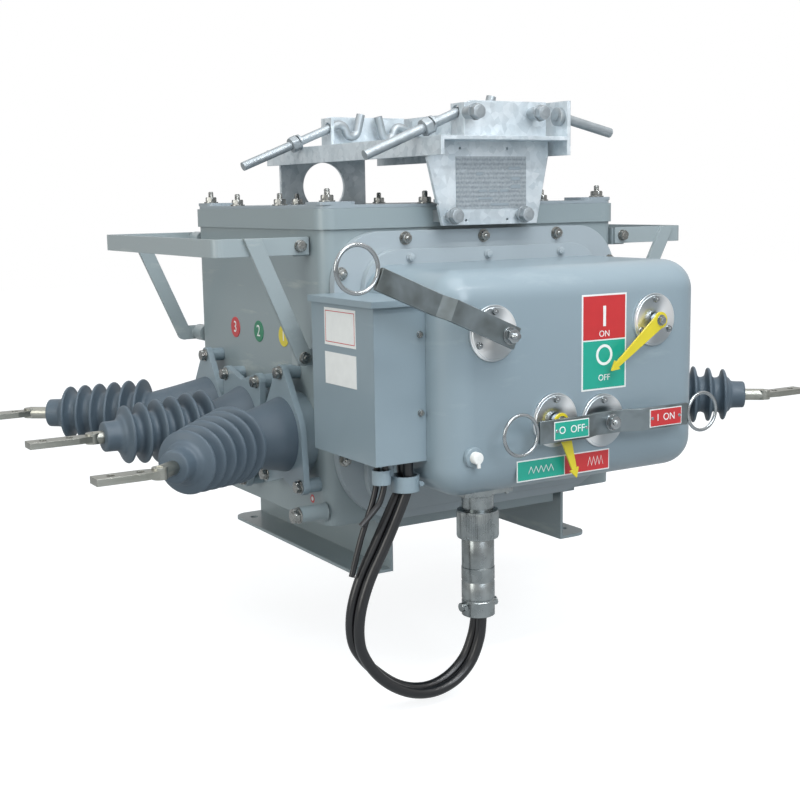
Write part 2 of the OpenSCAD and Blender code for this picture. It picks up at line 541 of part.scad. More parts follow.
// An end plate hangs from the saddle: e holds its left and right edges, at the saddle and at the bottom
module hanger_end(y, h, e) {
  b = saddle_top - saddle_z - 1; t = saddle_top - hang_t;
  xa = max(e[0], -sx2 + hang_t);
  difference() {
    to_front(0, 0, y + hang_t) linear_extrude(hang_t) union() {
      polygon([[e[0], b], [e[1], h], [e[2], h], [e[3], b]]);
      translate([xa, b - 1]) square([e[3] - xa, t - b + 1]);
    }
    children();
  }
}
module hanger_front_plate() color([0.80, 0.84, 0.86]) hanger_end(pf, 525, [-sx2 + 2, -90, 84, sx2 - 12]) {
  for (p = [[-58, 638], [28, 638], [-98, 556], [-48, 532], [28, 532]]) to_front(p[0], p[1], pf + hang_t + 1) cylinder(r = 2, h = hang_t + 2);
}
module hanger_rear_plate() color([0.76, 0.80, 0.82]) hanger_end(pr, 525, [-94, -94, 82, 82]) {
  to_front(-6, 590, pr + hang_t + 1) cylinder(r = 43, h = hang_t + 2);
  for (x = [-50, 46]) to_front(x, 552, pr + hang_t + 1) cylinder(r = 4, h = hang_t + 2);
}
// An upright plate with one rounded corner, and a side flange that a hook bolt passes
module upright(y, f, xa) {
  xb = sx2 - 16;
  union() {
    to_front(0, 0, y + hang_t) linear_extrude(hang_t) union() {
      translate([xa, saddle_top]) square([xb - xa, upright_z - 16]);
      translate([xa + 16, saddle_top]) square([xb - xa - 16, upright_z]);
      translate([xa + 16, saddle_top + upright_z - 16]) circle(16);
    }
    difference() {
      slab(xa, xa + hang_t, f, f + 36, saddle_top, saddle_top + upright_z - 3);
      children();
    }
  }
}
module hook_hole(x, y, z) { translate([x, y, saddle_top + z]) rotate([0, 90, 0]) cylinder(r = hook_r + 3, h = 30); }
module upright_front() color([0.80, 0.84, 0.86]) upright(pf, pf, -50) hook_hole(-62, -245, 36.5);
module upright_rear() color([0.78, 0.82, 0.84]) upright(147, 117, -64) hook_hole(-76, 130, 32);
module sleeve(h) { cylinder(r = 9.5, h = h); translate([0, 0, h]) hexhead(19, 10); }
low_x = [-76, 53];                     // bolts that hold the hanger to the tank collar
module hanger_bolts() color([0.76, 0.78, 0.78]) {
  for (x = low_x) to_front(x, 539, pf) sleeve(14);
  for (x = [-45, 74]) to_front(x, saddle_top + 35, pf) sleeve(24);
  for (x = low_x) slab(x - 9, x + 9, pf + hang_t, -wy - rim_out, 530, 548);
  for (x = low_x) slab(x - 9, x + 9, wy + rim_out, pr, 530, 548);
}
// hook bolt: a drooping threaded rod with a nut and a washer, and an S bend at its inner end
function bend(p, a0, a1, R, n) = let (s = a1 > a0 ? 1 : -1, c = p + s * R * [-sin(a0), cos(a0)])
  [for (i = [1:n]) let (a = a0 + (a1 - a0) * i / n) c + s * R * [sin(a), -cos(a)]];
function hook(len, a) = let (b1 = bend([0, 0], a, -78, 13, 6), b2 = bend(b1[5], -78, 75, 12, 8))
  concat([-len * [cos(a), sin(a)], [0, 0]], b1, b2, [b2[7] + 30 * [cos(75), sin(75)]]);
module nut_on(u, y, d, a, at) {
  q = u + at * [-d * cos(a), -sin(a)];
  translate([q[0], y, q[1]]) rotate([0, -d * (90 - a), 0]) { hexhead(24, 13); translate([0, 0, 12]) cylinder(r = 14, h = 3); }
}
module hook_bolt(u, y, d, len, a, nut) {
  rod([for (p = hook(len, a)) u + [d * p[0], p[1]]], y, hook_r, 12);
  nut_on(u, y, d, a, nut);
}
module hook_bolts() color([0.72, 0.75, 0.77]) translate([0, 0, saddle_top]) {
  hook_bolt([-46, 38], 130, 1, 194, 21.3, 84);
  hook_bolt([-33, 42], -245, 1, 188, 21.5, 68);
  hook_bolt([86, 35], 130, -1, 116, 21.3, 54);
  // straight front right rod through the upstand, with a round nut inside
  rod([[103, 32], [120, 28], [211, 7]], -290, hook_r, 12);
  translate([104, -290, 30]) rotate([0, 90, 0]) cylinder(r = 14, h = sx2 - hang_t - 104);
  translate([sx2, 130, 24]) rotate([0, 90, 0]) cylinder(r = 15, h = 9);
}
module nameplate() color([0.62, 0.66, 0.69]) slab(-66, 63, pf - 1, pf, 549, 626);

tank_shell();
tank_lid();
lid_bolts();
foot_left();
foot_right();
front_plate();
front_plate_bolts();
drive_box();
drive_box_flange();
drive_box_bolts();
shaft_discs();
charge_lever();
charge_ring();
hand_lever();
hand_rings();
lever_plate_on();
lever_plate_off();
position_pointer();
energy_pointer();
position_label();
energy_label();
lock_knob();
phase_discs();
terminal_box();
terminal_box_lid();
box_labels();
cable_clamps();
control_cable_front();
control_cable_rear();
cut_lead_short();
cut_lead_long();
connector();
earth_terminal();
handle_left();
handle_right();
handle_bolts();
bushing_left_front();
bushing_left_middle();
bushing_left_rear();
bushing_right_front();
bushing_right_middle();
bushing_right_rear();
bushing_flanges();
bushing_bolts();
terminals_left();
terminals_right();
saddle();
saddle_upstand();
hanger_front_plate();
hanger_rear_plate();
upright_front();
upright_rear();
hanger_bolts();
hook_bolts();
nameplate();
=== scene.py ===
# %% [markdown]
# # Outdoor vacuum circuit breaker
# The real thing is a welded steel tank that hangs from a galvanised pole
# hanger, with three rubber bushings on each side and a drive box in front.
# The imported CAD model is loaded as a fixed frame, and every new surface below
# is worked out in its axes, in metres.

# %% Load the frame
import math

import bpy
import numpy as np
from mathutils import Matrix, Vector


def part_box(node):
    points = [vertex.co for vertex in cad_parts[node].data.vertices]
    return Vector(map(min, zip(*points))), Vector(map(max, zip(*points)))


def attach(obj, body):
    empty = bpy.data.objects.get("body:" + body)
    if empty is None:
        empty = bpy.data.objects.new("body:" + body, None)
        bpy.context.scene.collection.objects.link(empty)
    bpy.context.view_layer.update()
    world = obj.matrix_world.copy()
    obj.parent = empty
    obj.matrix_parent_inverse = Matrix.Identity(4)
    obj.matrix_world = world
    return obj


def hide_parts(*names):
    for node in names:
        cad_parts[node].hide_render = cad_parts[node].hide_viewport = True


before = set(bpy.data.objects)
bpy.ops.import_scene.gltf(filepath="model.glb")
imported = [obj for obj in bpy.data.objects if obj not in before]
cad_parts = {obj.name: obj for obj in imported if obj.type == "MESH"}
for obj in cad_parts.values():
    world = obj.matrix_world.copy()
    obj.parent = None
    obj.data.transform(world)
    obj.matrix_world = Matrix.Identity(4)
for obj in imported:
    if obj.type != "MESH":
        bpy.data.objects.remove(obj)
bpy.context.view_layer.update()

# %% [markdown]
# ## Camera
# A long lens stands in front and to the left, at the height of the tank lid.
# A Track To constraint would aim it, but it could not lean the horizon by a
# degree. So its right, up and backward directions are worked out instead:
# they are the columns of a camera's matrix.

# %% Camera
camera_place = Vector((-1.1531, -1.8807, 0.5670))
yaw, pitch, roll = np.radians([31.39, 8.89, -0.93])
flat_part = math.cos(pitch)
forward = Vector((math.sin(yaw) * flat_part, math.cos(yaw) * flat_part, -math.sin(pitch)))
level = Vector((math.cos(yaw), -math.sin(yaw), 0.0))
upright = level.cross(forward)
right = level * math.cos(roll) + upright * math.sin(roll)
up = upright * math.cos(roll) - level * math.sin(roll)
camera_data = bpy.data.cameras.new("camera")
camera_data.lens = 58.19
camera_data.sensor_width = 36.0
camera = bpy.data.objects.new("camera", camera_data)
scene = bpy.context.scene
scene.collection.objects.link(camera)
camera.matrix_world = Matrix((
    (right.x, up.x, -forward.x, camera_place.x),
    (right.y, up.y, -forward.y, camera_place.y),
    (right.z, up.z, -forward.z, camera_place.z),
    (0, 0, 0, 1)))
scene.camera = camera
print("camera at", tuple(round(v, 3) for v in camera_place))

# %% [markdown]
# ## Surfaces as rings of points
# Nearly every part here is turned, bent or extruded, so one idea serves them
# all: a stack of rings with the same number of points, and quads between
# neighbouring rings. Blender's own Spin and Extrude tools would do it too, but
# they work on a selection. With arrays the whole shape is one formula, and no
# loop visits a vertex.

# %% Rings to a closed skin
MM = 0.001
X, Y, Z = (1, 0, 0), (0, 1, 0), (0, 0, 1)
LEFT, FRONT = (-1, 0, 0), (0, -1, 0)


def mm(*values):
    """Millimetres to metres, as an array."""
    return np.array(values, float) * MM


def pairs(*values):
    """Numbers in millimetres, taken two by two, as rows of a table in metres."""
    return mm(*values).reshape(-1, 2)


def skin(rings, caps=True):
    """Quads join ring i to ring i + 1; the first and last ring are closed by flat faces.

    The enclosed volume is the sum of p0 . (p1 x p2) / 6 over the triangles.
    Where it comes out negative, the faces point inwards and are turned round."""
    rows, around = rings.shape[:2]
    index = np.arange(rows * around).reshape(rows, around)
    ahead = np.roll(index, -1, axis=1)
    quads = np.stack([index[:-1], ahead[:-1], ahead[1:], index[1:]], axis=-1).reshape(-1, 4)
    points = rings.reshape(-1, 3)
    a, b, c, d = (points[quads[:, i]] for i in range(4))
    volume = np.sum(a * np.cross(b, c)) + np.sum(a * np.cross(c, d))
    ends = [index[0, ::-1], index[-1]] if caps else []
    for end in ends:
        p = points[end]
        volume += np.sum(p[0] * np.cross(p[1:-1], p[2:]))
    faces = quads.tolist() + [end.tolist() for end in ends]
    if volume < 0:
        faces = [face[::-1] for face in faces]
    return points, faces


print("millimetres and skins ready")

# %% [markdown]
# ## Turned shapes
# Bolts, discs, bosses and the plug are round about an axis, as a lathe makes
# them. The Screw modifier would turn a profile too. Circles stacked along the
# axis do the same in one formula, and the radius may also ripple, which a
# knurled ring needs.

# %% Lathe
def sides(axis):
    """The axis as a unit direction, and two more that are square to it and to each other."""
    axis = np.array(axis, float) / np.linalg.norm(axis)
    other = np.array([0.0, 0.0, 1.0]) if abs(axis[2]) < 0.9 else np.array([0.0, 1.0, 0.0])
    one = np.cross(other, axis)
    one /= np.linalg.norm(one)
    return axis, one, np.cross(axis, one)


def lathe(profile, place, axis, around=48, wobble=0.0, lobes=0):
    """point(h, t) = place + h axis + r(h) (one cos t + other sin t), for (h, r) in the profile.

    wobble adds a ripple of that depth with the given number of lobes, as on a knurled ring."""
    axis, one, other = sides(axis)
    profile = np.array(profile, float)
    t = np.linspace(0, 2 * np.pi, around, endpoint=False)
    radius = profile[:, 1, None] + wobble * np.cos(lobes * t)[None]
    turn = np.cos(t)[:, None] * one + np.sin(t)[:, None] * other
    return skin(np.array(place) + profile[:, 0, None, None] * axis + radius[..., None] * turn)


print("lathe ready")

# %% [markdown]
# ## Swept and pushed shapes
# A sweep carries a circle along a curve, for cables and bent rod, and an
# extrusion pushes a flat outline, for bar and sheet. A Curve object with a
# bevel would also make a rod, but its ends and its seam are harder to control
# than rings that are worked out.

# %% Sweep and extrusion
def through(points, steps):
    """A smooth Catmull-Rom curve through the points, with that many steps between two of them."""
    p = np.array(points, float)
    p = np.vstack([p[:1], p, p[-1:]])
    t = (np.arange(steps) / steps)[None, :, None]
    a, b, c, d = (p[i:len(p) - 3 + i, None, :] for i in range(4))
    line = 0.5 * (2 * b + (c - a) * t + (2 * a - 5 * b + 4 * c - d) * t**2 + (3 * b - a - 3 * c + d) * t**3)
    return np.vstack([line.reshape(-1, p.shape[1]), p[-1:]])


def sweep(path, radius, around=24):
    """Rings round a path that lies in one upright plane: centre + r (n cos t + y sin t).

    n is square to the path's direction and to Y."""
    path = np.array(path, float)
    along = np.gradient(path, axis=0)
    along /= np.linalg.norm(along, axis=1)[:, None]
    square = np.cross(along, [0.0, 1.0, 0.0])
    t = np.linspace(0, 2 * np.pi, around, endpoint=False)[None, :, None]
    turn = np.cos(t) * square[:, None] + np.sin(t) * np.array([0.0, 1.0, 0.0])
    return skin(path[:, None] + radius * turn)


def extruded(outline, place, one, other, depth):
    """A flat outline of (a, b) points, place + a one + b other, pushed along depth."""
    outline = np.array(outline, float)
    flat = np.array(place) + outline[:, :1] * np.array(one, float) + outline[:, 1:] * np.array(other, float)
    return skin(np.stack([flat, flat + np.array(depth, float)]))


print("sweep and extrusion ready")

# %% [markdown]
# ## Colours and shader nodes
# Colours are written as sRGB hex, the way a paint chart gives them, and one
# function turns them to the linear values that a shader needs. Nodes could be
# placed by hand in the shader editor; one small function that adds a node with
# its settings and links does the same and can be read from top to bottom.
# A noise of scale s has patches about 1000 / s millimetres across.

# %% Helpers for finishes
def colour(code):
    """An sRGB hex colour as linear red, green, blue and alpha."""
    value = np.array([int(code[i:i + 2], 16) for i in (1, 3, 5)]) / 255
    linear = np.where(value <= 0.04045, value / 12.92, ((value + 0.055) / 1.055) ** 2.4)
    return (*linear.tolist(), 1.0)


def add(tree, kind, inputs=None, feeds=None, **settings):
    """A new shader node; an input that is a socket is linked, any other is set.

    feeds is the socket of another node that takes this one's first enabled output."""
    made = tree.nodes.new(kind)
    for name, value in settings.items():
        setattr(made, name, value)
    for name, value in (inputs or {}).items():
        if isinstance(value, bpy.types.NodeSocket):
            tree.links.new(value, made.inputs[name])
        else:
            made.inputs[name].default_value = value
    if feeds:
        tree.links.new(next(output for output in made.outputs if output.enabled), feeds)
    return made


def new_finish(name, roughness, metallic=0.0, **sockets):
    """An empty material with its Principled shader and its Object coordinates."""
    material = bpy.data.materials.new(name)
    material.use_nodes = True
    tree = material.node_tree
    shader = tree.nodes["Principled BSDF"]
    shader.inputs["Roughness"].default_value = roughness
    shader.inputs["Metallic"].default_value = metallic
    for socket, value in sockets.items():
        shader.inputs[socket.replace("_", " ")].default_value = value
    spot = tree.nodes.new("ShaderNodeTexCoord").outputs["Object"]
    return material, tree, shader, spot


print("red as a shader reads it:", np.round(colour("#c62a2e"), 3).tolist())

# %% [markdown]
# ## Pieces
# Every new mesh has its place in its vertices and its object at the origin, so
# that a pattern on Object coordinates never slides. A piece rides on one body
# of the mechanism, and may stand for a CAD node, which is then hidden. CAD
# nodes whose shape is right stay, and are only dressed in a better material.

# %% Helpers for pieces
def make_piece(name, shapes, finish, body="body", stands_for=(), sharp=35, bevel=0.0):
    """One mesh of all the shapes, shaded smooth up to the sharp angle, riding on a body."""
    starts = np.cumsum([0] + [len(points) for points, _ in shapes])
    faces = [[i + int(start) for i in face] for start, (_, part) in zip(starts, shapes) for face in part]
    mesh = bpy.data.meshes.new(name)
    mesh.from_pydata(np.concatenate([points for points, _ in shapes]).tolist(), [], faces)
    mesh.shade_smooth()
    mesh.set_sharp_from_angle(angle=math.radians(sharp))
    mesh.materials.append(finish)
    piece = bpy.data.objects.new(name, mesh)
    scene.collection.objects.link(piece)
    if bevel:
        rounding = piece.modifiers.new("rounding", "BEVEL")
        rounding.width = bevel
        rounding.segments = 2
        rounding.limit_method = "ANGLE"
        rounding.angle_limit = math.radians(40)
    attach(piece, body)
    if stands_for:
        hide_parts(*stands_for)
    print(name, len(faces), "faces")
    return piece


def dress(finish, *nodes):
    """Give CAD nodes whose shape is right a better material."""
    for node in nodes:
        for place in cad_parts[node].material_slots:
            place.material = finish
    print(finish.name, "on", ", ".join(nodes))


# %% [markdown]
# ## Black cable
# The two control cables and the two cut leads are sheathed in soft black PVC,
# pressed through a die while hot. One plain black would hide their roundness.
# A thin coat gives the narrow bright streak along the sheath, and a fine bump
# breaks it up a little.

# %% Black PVC
# Extruded PVC: nearly black, half glossy, with a grain of about 4 mm that is
# coarser than the real one so that it shows.
black_pvc, tree, shader, spot = new_finish("black_pvc_sheath", 0.32, Coat_Weight=0.25, Coat_Roughness=0.2)
shader.inputs["Base Color"].default_value = colour("#101114")
grain = add(tree, "ShaderNodeTexNoise", {"Vector": spot, "Scale": 240.0, "Detail": 3.0})
add(tree, "ShaderNodeBump", {"Height": grain.outputs["Fac"], "Strength": 0.10, "Distance": 0.0006},
    feeds=shader.inputs["Normal"])
print(black_pvc.name)

# %% [markdown]
# ## Control cables and cut leads
# Two cables leave the right clamp under the terminal box, hang in a long loop
# under their own weight and go up into the round connector. Two thin leads
# leave the left clamp and end where they were cut. The routes are those of the
# CAD solids, given as (x, z) in millimetres and smoothed by a Catmull-Rom
# curve. They lie in upright planes, each shifted sideways from its clamp.

# %% Cables
clamp_y = -396
cable_r, lead_r = 7.6, 4.2
routes = {
    "control_cable_front": (-7.6, cable_r, [
        (-241, 211), (-241, 200), (-241, 178), (-252, 150), (-278, 100), (-306, 50), (-321, 5), (-322, -35),
        (-309, -66), (-287, -93), (-258, -114), (-227, -126), (-195, -128), (-163, -118), (-138, -96),
        (-124, -66), (-120, -40), (-120, -25), (-120, -10)]),
    "control_cable_rear": (7.6, cable_r, [
        (-241, 211), (-241, 200), (-241, 178), (-256, 150), (-284, 100), (-312, 50), (-326, 5), (-325, -35),
        (-309, -64), (-284, -90), (-256, -111), (-226, -123), (-195, -125), (-165, -115), (-140, -94),
        (-126, -66), (-120, -40), (-120, -25), (-120, -10)]),
    "cut_lead_short": (-4.6, lead_r, [
        (-275, 211), (-275, 203), (-275, 190), (-284, 160), (-299, 143), (-315, 129)]),
    "cut_lead_long": (4.6, lead_r, [
        (-283, 211), (-283, 203), (-283, 190), (-290, 160), (-310, 110), (-326, 58)]),
}
for name, (shift, radius, route) in routes.items():
    flat = through(route, 6) * MM
    path = np.column_stack([flat[:, 0], np.full(len(flat), (clamp_y + shift) * MM), flat[:, 1]])
    length = float(np.linalg.norm(np.diff(path, axis=0), axis=1).sum())
    sheath = [sweep(path, radius * MM)]
    cable = make_piece(name + "_sheath", sheath, black_pvc, stands_for=(name,), sharp=60)
    print(name, "is", round(length, 3), "m long")

# %% [markdown]
# ## World
# The object stands before white. A brighter world would give that white, but
# it would also wash out the paint. So the Light Path node shows white to the
# camera only, while a weaker, plain light falls on the object. Reflections see
# a sky that grows brighter upwards, which gives the metal its contrast.

# %% World
scene.view_settings.view_transform = "Standard"
world = bpy.data.worlds.new("white_studio")
scene.world = world
world.use_nodes = True
tree = world.node_tree
tree.nodes.clear()
ray = add(tree, "ShaderNodeLightPath")
seen = add(tree, "ShaderNodeMath", {0: ray.outputs["Is Camera Ray"], 1: ray.outputs["Is Transmission Ray"]},
           operation="MAXIMUM")
plain = add(tree, "ShaderNodeBackground", {"Color": colour("#f6f8fa"), "Strength": 0.60})
way = add(tree, "ShaderNodeSeparateXYZ", {"Vector": add(tree, "ShaderNodeTexCoord").outputs["Generated"]})
upwards = add(tree, "ShaderNodeMapRange",
              {"Value": way.outputs["Z"], "From Min": -0.1, "From Max": 0.75, "To Min": 0.46, "To Max": 1.05})
mirrored = add(tree, "ShaderNodeBackground", {"Color": colour("#ffffff"), "Strength": upwards.outputs[0]})
white = add(tree, "ShaderNodeBackground", {"Color": (1, 1, 1, 1), "Strength": 1.0})
unseen = add(tree, "ShaderNodeMixShader",
             {0: ray.outputs["Is Glossy Ray"], 1: plain.outputs[0], 2: mirrored.outputs[0]})
both = add(tree, "ShaderNodeMixShader", {0: seen.outputs[0], 1: unseen.outputs[0], 2: white.outputs[0]})
add(tree, "ShaderNodeOutputWorld", {"Surface": both.outputs[0]})
print(world.name)

# %% [markdown]
# ## Lamps
# Area lamps stand for a studio's softboxes: one overhead, one in front and one
# at the left, so that each side of the tank has its own level.
# A narrow strip adds the bright line that bent sheet metal shows. Sun and
# point lamps would give hard shadows, which plain studio light doesn't have.

# %% Lamps
def soft_lamp(name, place, aim, size, power, tint, depth=None):
    """An area lamp at a place, turned so that its face looks at the aim; depth makes it a strip."""
    data = bpy.data.lights.new(name, "AREA")
    data.shape = "RECTANGLE"
    data.size = size
    data.size_y = depth or size
    data.energy = power
    data.color = colour(tint)[:3]
    lamp = bpy.data.objects.new(name, data)
    lamp.location = place
    lamp.rotation_euler = (Vector(aim) - Vector(place)).to_track_quat("-Z", "Y").to_euler()
    scene.collection.objects.link(lamp)
    print(name, power, "W")


soft_lamp("overhead_softbox", (-0.4, -0.9, 2.6), (0, -0.1, 0.4), 1.8, 30, "#f6fbff")
soft_lamp("front_softbox", (-0.2, -3.1, 1.7), (0, -0.3, 0.3), 1.4, 37, "#eef6ff")
soft_lamp("strip_light", (0.1, -1.9, 2.3), (0.05, -0.4, 0.4), 2.4, 22, "#ffffff", 0.08)
soft_lamp("left_softbox", (-3.0, -0.7, 1.1), (0, 0, 0.3), 1.5, 26, "#fffdf6")

# %% [markdown]
# ## Floor
# The floor is a sheet of white paper below the cable loop, which hangs past
# the feet. It has to look as white as the world and still carry the shadow.
# So it is a grey paper that also glows a little, for the camera and, more
# weakly, for reflections.

# %% Floor
floor_level, reach = -0.15, 9
around_floor = ((-1, -1), (1, -1), (1, 1), (-1, 1))
floor_corners = [(sx * reach, sy * reach, floor_level) for sx, sy in around_floor]
floor_mesh = bpy.data.meshes.new("studio_floor")
floor_mesh.from_pydata(floor_corners, [], [(0, 1, 2, 3)])
floor = bpy.data.objects.new("studio_floor", floor_mesh)
scene.collection.objects.link(floor)
# Matt paper: no gloss at all, and its glow lifts it to white.
floor_paper, tree, shader, spot = new_finish("white_studio_paper", 0.9)
shader.inputs["Base Color"].default_value = colour("#9ca0a2")
ray = add(tree, "ShaderNodeLightPath")
gloss = add(tree, "ShaderNodeMath", {0: ray.outputs["Is Glossy Ray"], 1: 0.22}, operation="MULTIPLY")
glow = add(tree, "ShaderNodeMath", {0: ray.outputs["Is Camera Ray"], 1: 0.80, 2: gloss.outputs[0]},
           operation="MULTIPLY_ADD")
lit = add(tree, "ShaderNodeEmission", {"Color": (1, 1, 1, 1), "Strength": glow.outputs[0]})
add(tree, "ShaderNodeAddShader", {0: shader.outputs[0], 1: lit.outputs[0]},
    feeds=tree.nodes["Material Output"].inputs["Surface"])
floor_mesh.materials.append(floor_paper)
print("floor at", floor_level)

# %% [markdown]
# ## Painted steel
# Tank and covers are sprayed with a blue-grey stoving enamel. It is half
# glossy, has the faint ripple called orange peel, and shows a slow change of
# tone where the film is thicker. One even colour would look like plastic. A
# bevel in the shader lets bent edges catch the light, since the CAD solids
# have them sharp and their mesh is never changed.

# %% Enamel on the covers and on the tank
def enamel(name, base, tint, dirt, roughness, scuffs):
    """Slow noise mixes two tones, streaks stretched along Y add scuffs, and fine noise is the orange peel.

    The tones change over some 300 mm, a streak is about 30 by 200 mm and the peel 6 mm, drawn coarse."""
    material, tree, shader, spot = new_finish(name, roughness, Coat_Weight=0.35, Coat_Roughness=0.10)
    slow = add(tree, "ShaderNodeTexNoise", {"Vector": spot, "Scale": 3.2, "Detail": 4.0, "Roughness": 0.6})
    tone = add(tree, "ShaderNodeMix", {"Factor": slow.outputs["Fac"], 6: colour(base), 7: colour(tint)},
               data_type="RGBA")
    stretched = add(tree, "ShaderNodeMapping", {"Vector": spot, "Scale": (9.0, 5.0, 34.0)})
    streak = add(tree, "ShaderNodeTexNoise",
                 {"Vector": stretched.outputs[0], "Scale": 1.0, "Detail": 5.0, "Roughness": 0.65})
    rare = add(tree, "ShaderNodeMapRange",
               {"Value": streak.outputs["Fac"], "From Min": 0.60, "From Max": 0.74, "To Max": scuffs})
    add(tree, "ShaderNodeMix", {"Factor": rare.outputs[0], 6: tone.outputs[2], 7: colour(dirt)},
        feeds=shader.inputs["Base Color"], data_type="RGBA")
    add(tree, "ShaderNodeMapRange",
        {"Value": slow.outputs["Fac"], "To Min": roughness - 0.06, "To Max": roughness + 0.10},
        feeds=shader.inputs["Roughness"])
    peel = add(tree, "ShaderNodeTexNoise", {"Vector": spot, "Scale": 170.0, "Detail": 2.0})
    edge = add(tree, "ShaderNodeBevel", {"Radius": 0.0016}, samples=4)
    add(tree, "ShaderNodeBump",
        {"Height": peel.outputs["Fac"], "Strength": 0.06, "Distance": 0.0008, "Normal": edge.outputs[0]},
        feeds=shader.inputs["Normal"])
    print(name, base)
    return material


# Stoving enamel, sprayed and baked: a bluer, cleaner coat on the covers and a greener,
# more scuffed one on the tank. The front plate and the handles wear lighter copies of the same paint,
# which is painted light: it lifts the plate out of the shade under the hanger and brightens the handles; the
# handles' copy also has more scuffs.
cover_enamel = enamel("blue_grey_stoving_enamel", "#80919a", "#8a9aa2", "#a7b3b8", 0.38, 0.22)
tank_enamel = enamel("green_grey_stoving_enamel", "#849296", "#8e9a9d", "#b3b9b4", 0.42, 0.50)
plate_enamel_painted_lighter = enamel("stoving_enamel_painted_lighter_for_shade", "#9aa5ab", "#a3adb2", "#b9c1c4", 0.40, 0.26)
handle_enamel_painted_lighter = enamel("handle_stoving_enamel_painted_lighter", "#8f9b9f", "#99a4a6", "#bbc1bd", 0.40, 0.45)
dress(cover_enamel, "terminal_box", "terminal_box_lid", "bushing_flanges")
# Front plate and flange get the lightened copy of the enamel: painted light against the shade under the hanger.
dress(plate_enamel_painted_lighter, "front_plate", "drive_box_flange")
dress(tank_enamel, "tank_shell", "foot_left", "foot_right")
# Handles get their own lightened copy of the enamel: painted light that brightens them.
dress(handle_enamel_painted_lighter, "handle_left", "handle_right")

# %% [markdown]
# ## Drive box
# The cover is pressed from sheet with big round edges. A cube with a Bevel
# would have flat shading bands round its corners. A rounded box is instead a
# smaller box whose corners carry a quarter ball each: point = core corner +
# radius * direction. Sweeping the direction over half a ball gives the front
# and its edges as one smooth surface.

# %% Drive box
def rounded_front(low, high, radius, steps=10):
    """Rings of directions (sin p cos t, -cos p, sin p sin t); each quarter keeps its own core corner.

    low and high are corners of the box, whose front is at low Y and whose back is cut flat at high Y."""
    low, high = np.array(low), np.array(high)
    quarter = np.linspace(0, np.pi / 2, steps + 1)
    t = np.concatenate([quarter + i * np.pi / 2 for i in range(4)])
    sign_x = np.repeat([1, -1, -1, 1], steps + 1)
    sign_z = np.repeat([1, 1, -1, -1], steps + 1)
    middle = (low + high) / 2
    core = (high - low) / 2 - radius
    p = quarter[:, None]
    x = middle[0] + sign_x * core[0] + radius * np.sin(p) * np.cos(t)
    z = middle[2] + sign_z * core[2] + radius * np.sin(p) * np.sin(t)
    y = low[1] + radius - radius * np.cos(p) + 0 * t
    rings = np.stack([x, y, z], axis=-1)
    back = rings[-1:].copy()
    back[..., 1] = high[1]
    return skin(np.concatenate([rings, back]))


edge_radius = 45
box_low, box_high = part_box("drive_box")
make_piece("drive_box_cover", [rounded_front(box_low, box_high, edge_radius * MM)], cover_enamel,
           stands_for=("drive_box",), sharp=50)

# %% [markdown]
# ## Hexagon heads and threads
# A hexagon head is a ring whose radius is half the width across flats over
# the cosine of the angle to the nearest flat. A chamfer is a smaller limit on
# that radius at the top. A thread is a ripple that turns once in each pitch.
# A bump map could draw both, but it would be gone from the exported shape.

# %% Hexagons, threads and washers
def hexagon(place, axis, across, height, turn=0.0):
    """radius(t) = across / 2 / cos(angle to the nearest flat), cut by a chamfer near the top."""
    axis, one, other = sides(axis)
    t = np.linspace(0, 2 * np.pi, 48, endpoint=False)
    fold = (t % (np.pi / 3)) - np.pi / 6
    flat = across / 2 / np.cos(fold)
    limit = np.array([0.55, 0.58, 0.58, 0.52, 0.47])[:, None] * across
    high = np.array([0, 0.06, 0.80, 0.97, 1.0]) * height
    radius = np.minimum(flat[None], limit)
    spin = np.cos(t + turn)[:, None] * one + np.sin(t + turn)[:, None] * other
    return skin(np.array(place) + high[:, None, None] * axis + radius[..., None] * spin)


def thread(place, axis, radius, length, pitch=2 * MM):
    """radius(h, t) = mean + depth * cos(2 pi h / pitch - t), a ripple that climbs one pitch a turn."""
    axis, one, other = sides(axis)
    h = np.linspace(0, length, max(6, int(length / pitch * 5)))
    t = np.linspace(0, 2 * np.pi, 16, endpoint=False)
    end = np.clip((length - h) / (0.6 * pitch), 0.75, 1)
    ripple = (radius - 0.4 * MM + 0.35 * MM * np.cos(2 * np.pi * h[:, None] / pitch - t)) * end[:, None]
    spin = np.cos(t)[:, None] * one + np.sin(t)[:, None] * other
    return skin(np.array(place) + h[:, None, None] * axis + ripple[..., None] * spin)


def washer(place, axis, radius, thick):
    """A flat turned disc with a slightly rounded rim."""
    r = 0.12 * thick
    return lathe([(0, radius - r), (r, radius), (thick - r, radius), (thick, radius - r)], place, axis, 32)


print("hexagon, thread and washer ready")

# %% [markdown]
# ## Bolts
# A bolt here is a washer, a hexagon and either a small turned cap or the
# threaded end that stands out of a nut. All bolts of one kind are one mesh:
# they never move apart, and Blender handles one object faster than forty.

# %% Bolts and their zinc plating
def bolt(place, axis, across, height, washer_radius, washer_thick, stud=0.0, turn=0.3):
    """Washer, hexagon and cap, or with a stud the threaded end; sizes in millimetres, the place in metres."""
    across, height, washer_radius, washer_thick, stud = mm(across, height, washer_radius, washer_thick, stud)
    unit = np.array(axis, float) / np.linalg.norm(axis)
    top = np.array(place) + unit * washer_thick
    made = [washer(place, axis, washer_radius, washer_thick), hexagon(top, axis, across, height, turn)]
    if stud:
        made.append(thread(top + unit * height * 0.9, axis, across * 0.27, stud))
    else:
        made.append(lathe([(0, across * 0.30), (0.5 * MM, across * 0.28)], top + unit * height, axis, 24))
    return made


def bolts(spots, axis, *sizes):
    """The same bolt at each of several spots (x, y, z) in millimetres."""
    return [part for spot in spots for part in bolt(mm(*spot), axis, *sizes)]


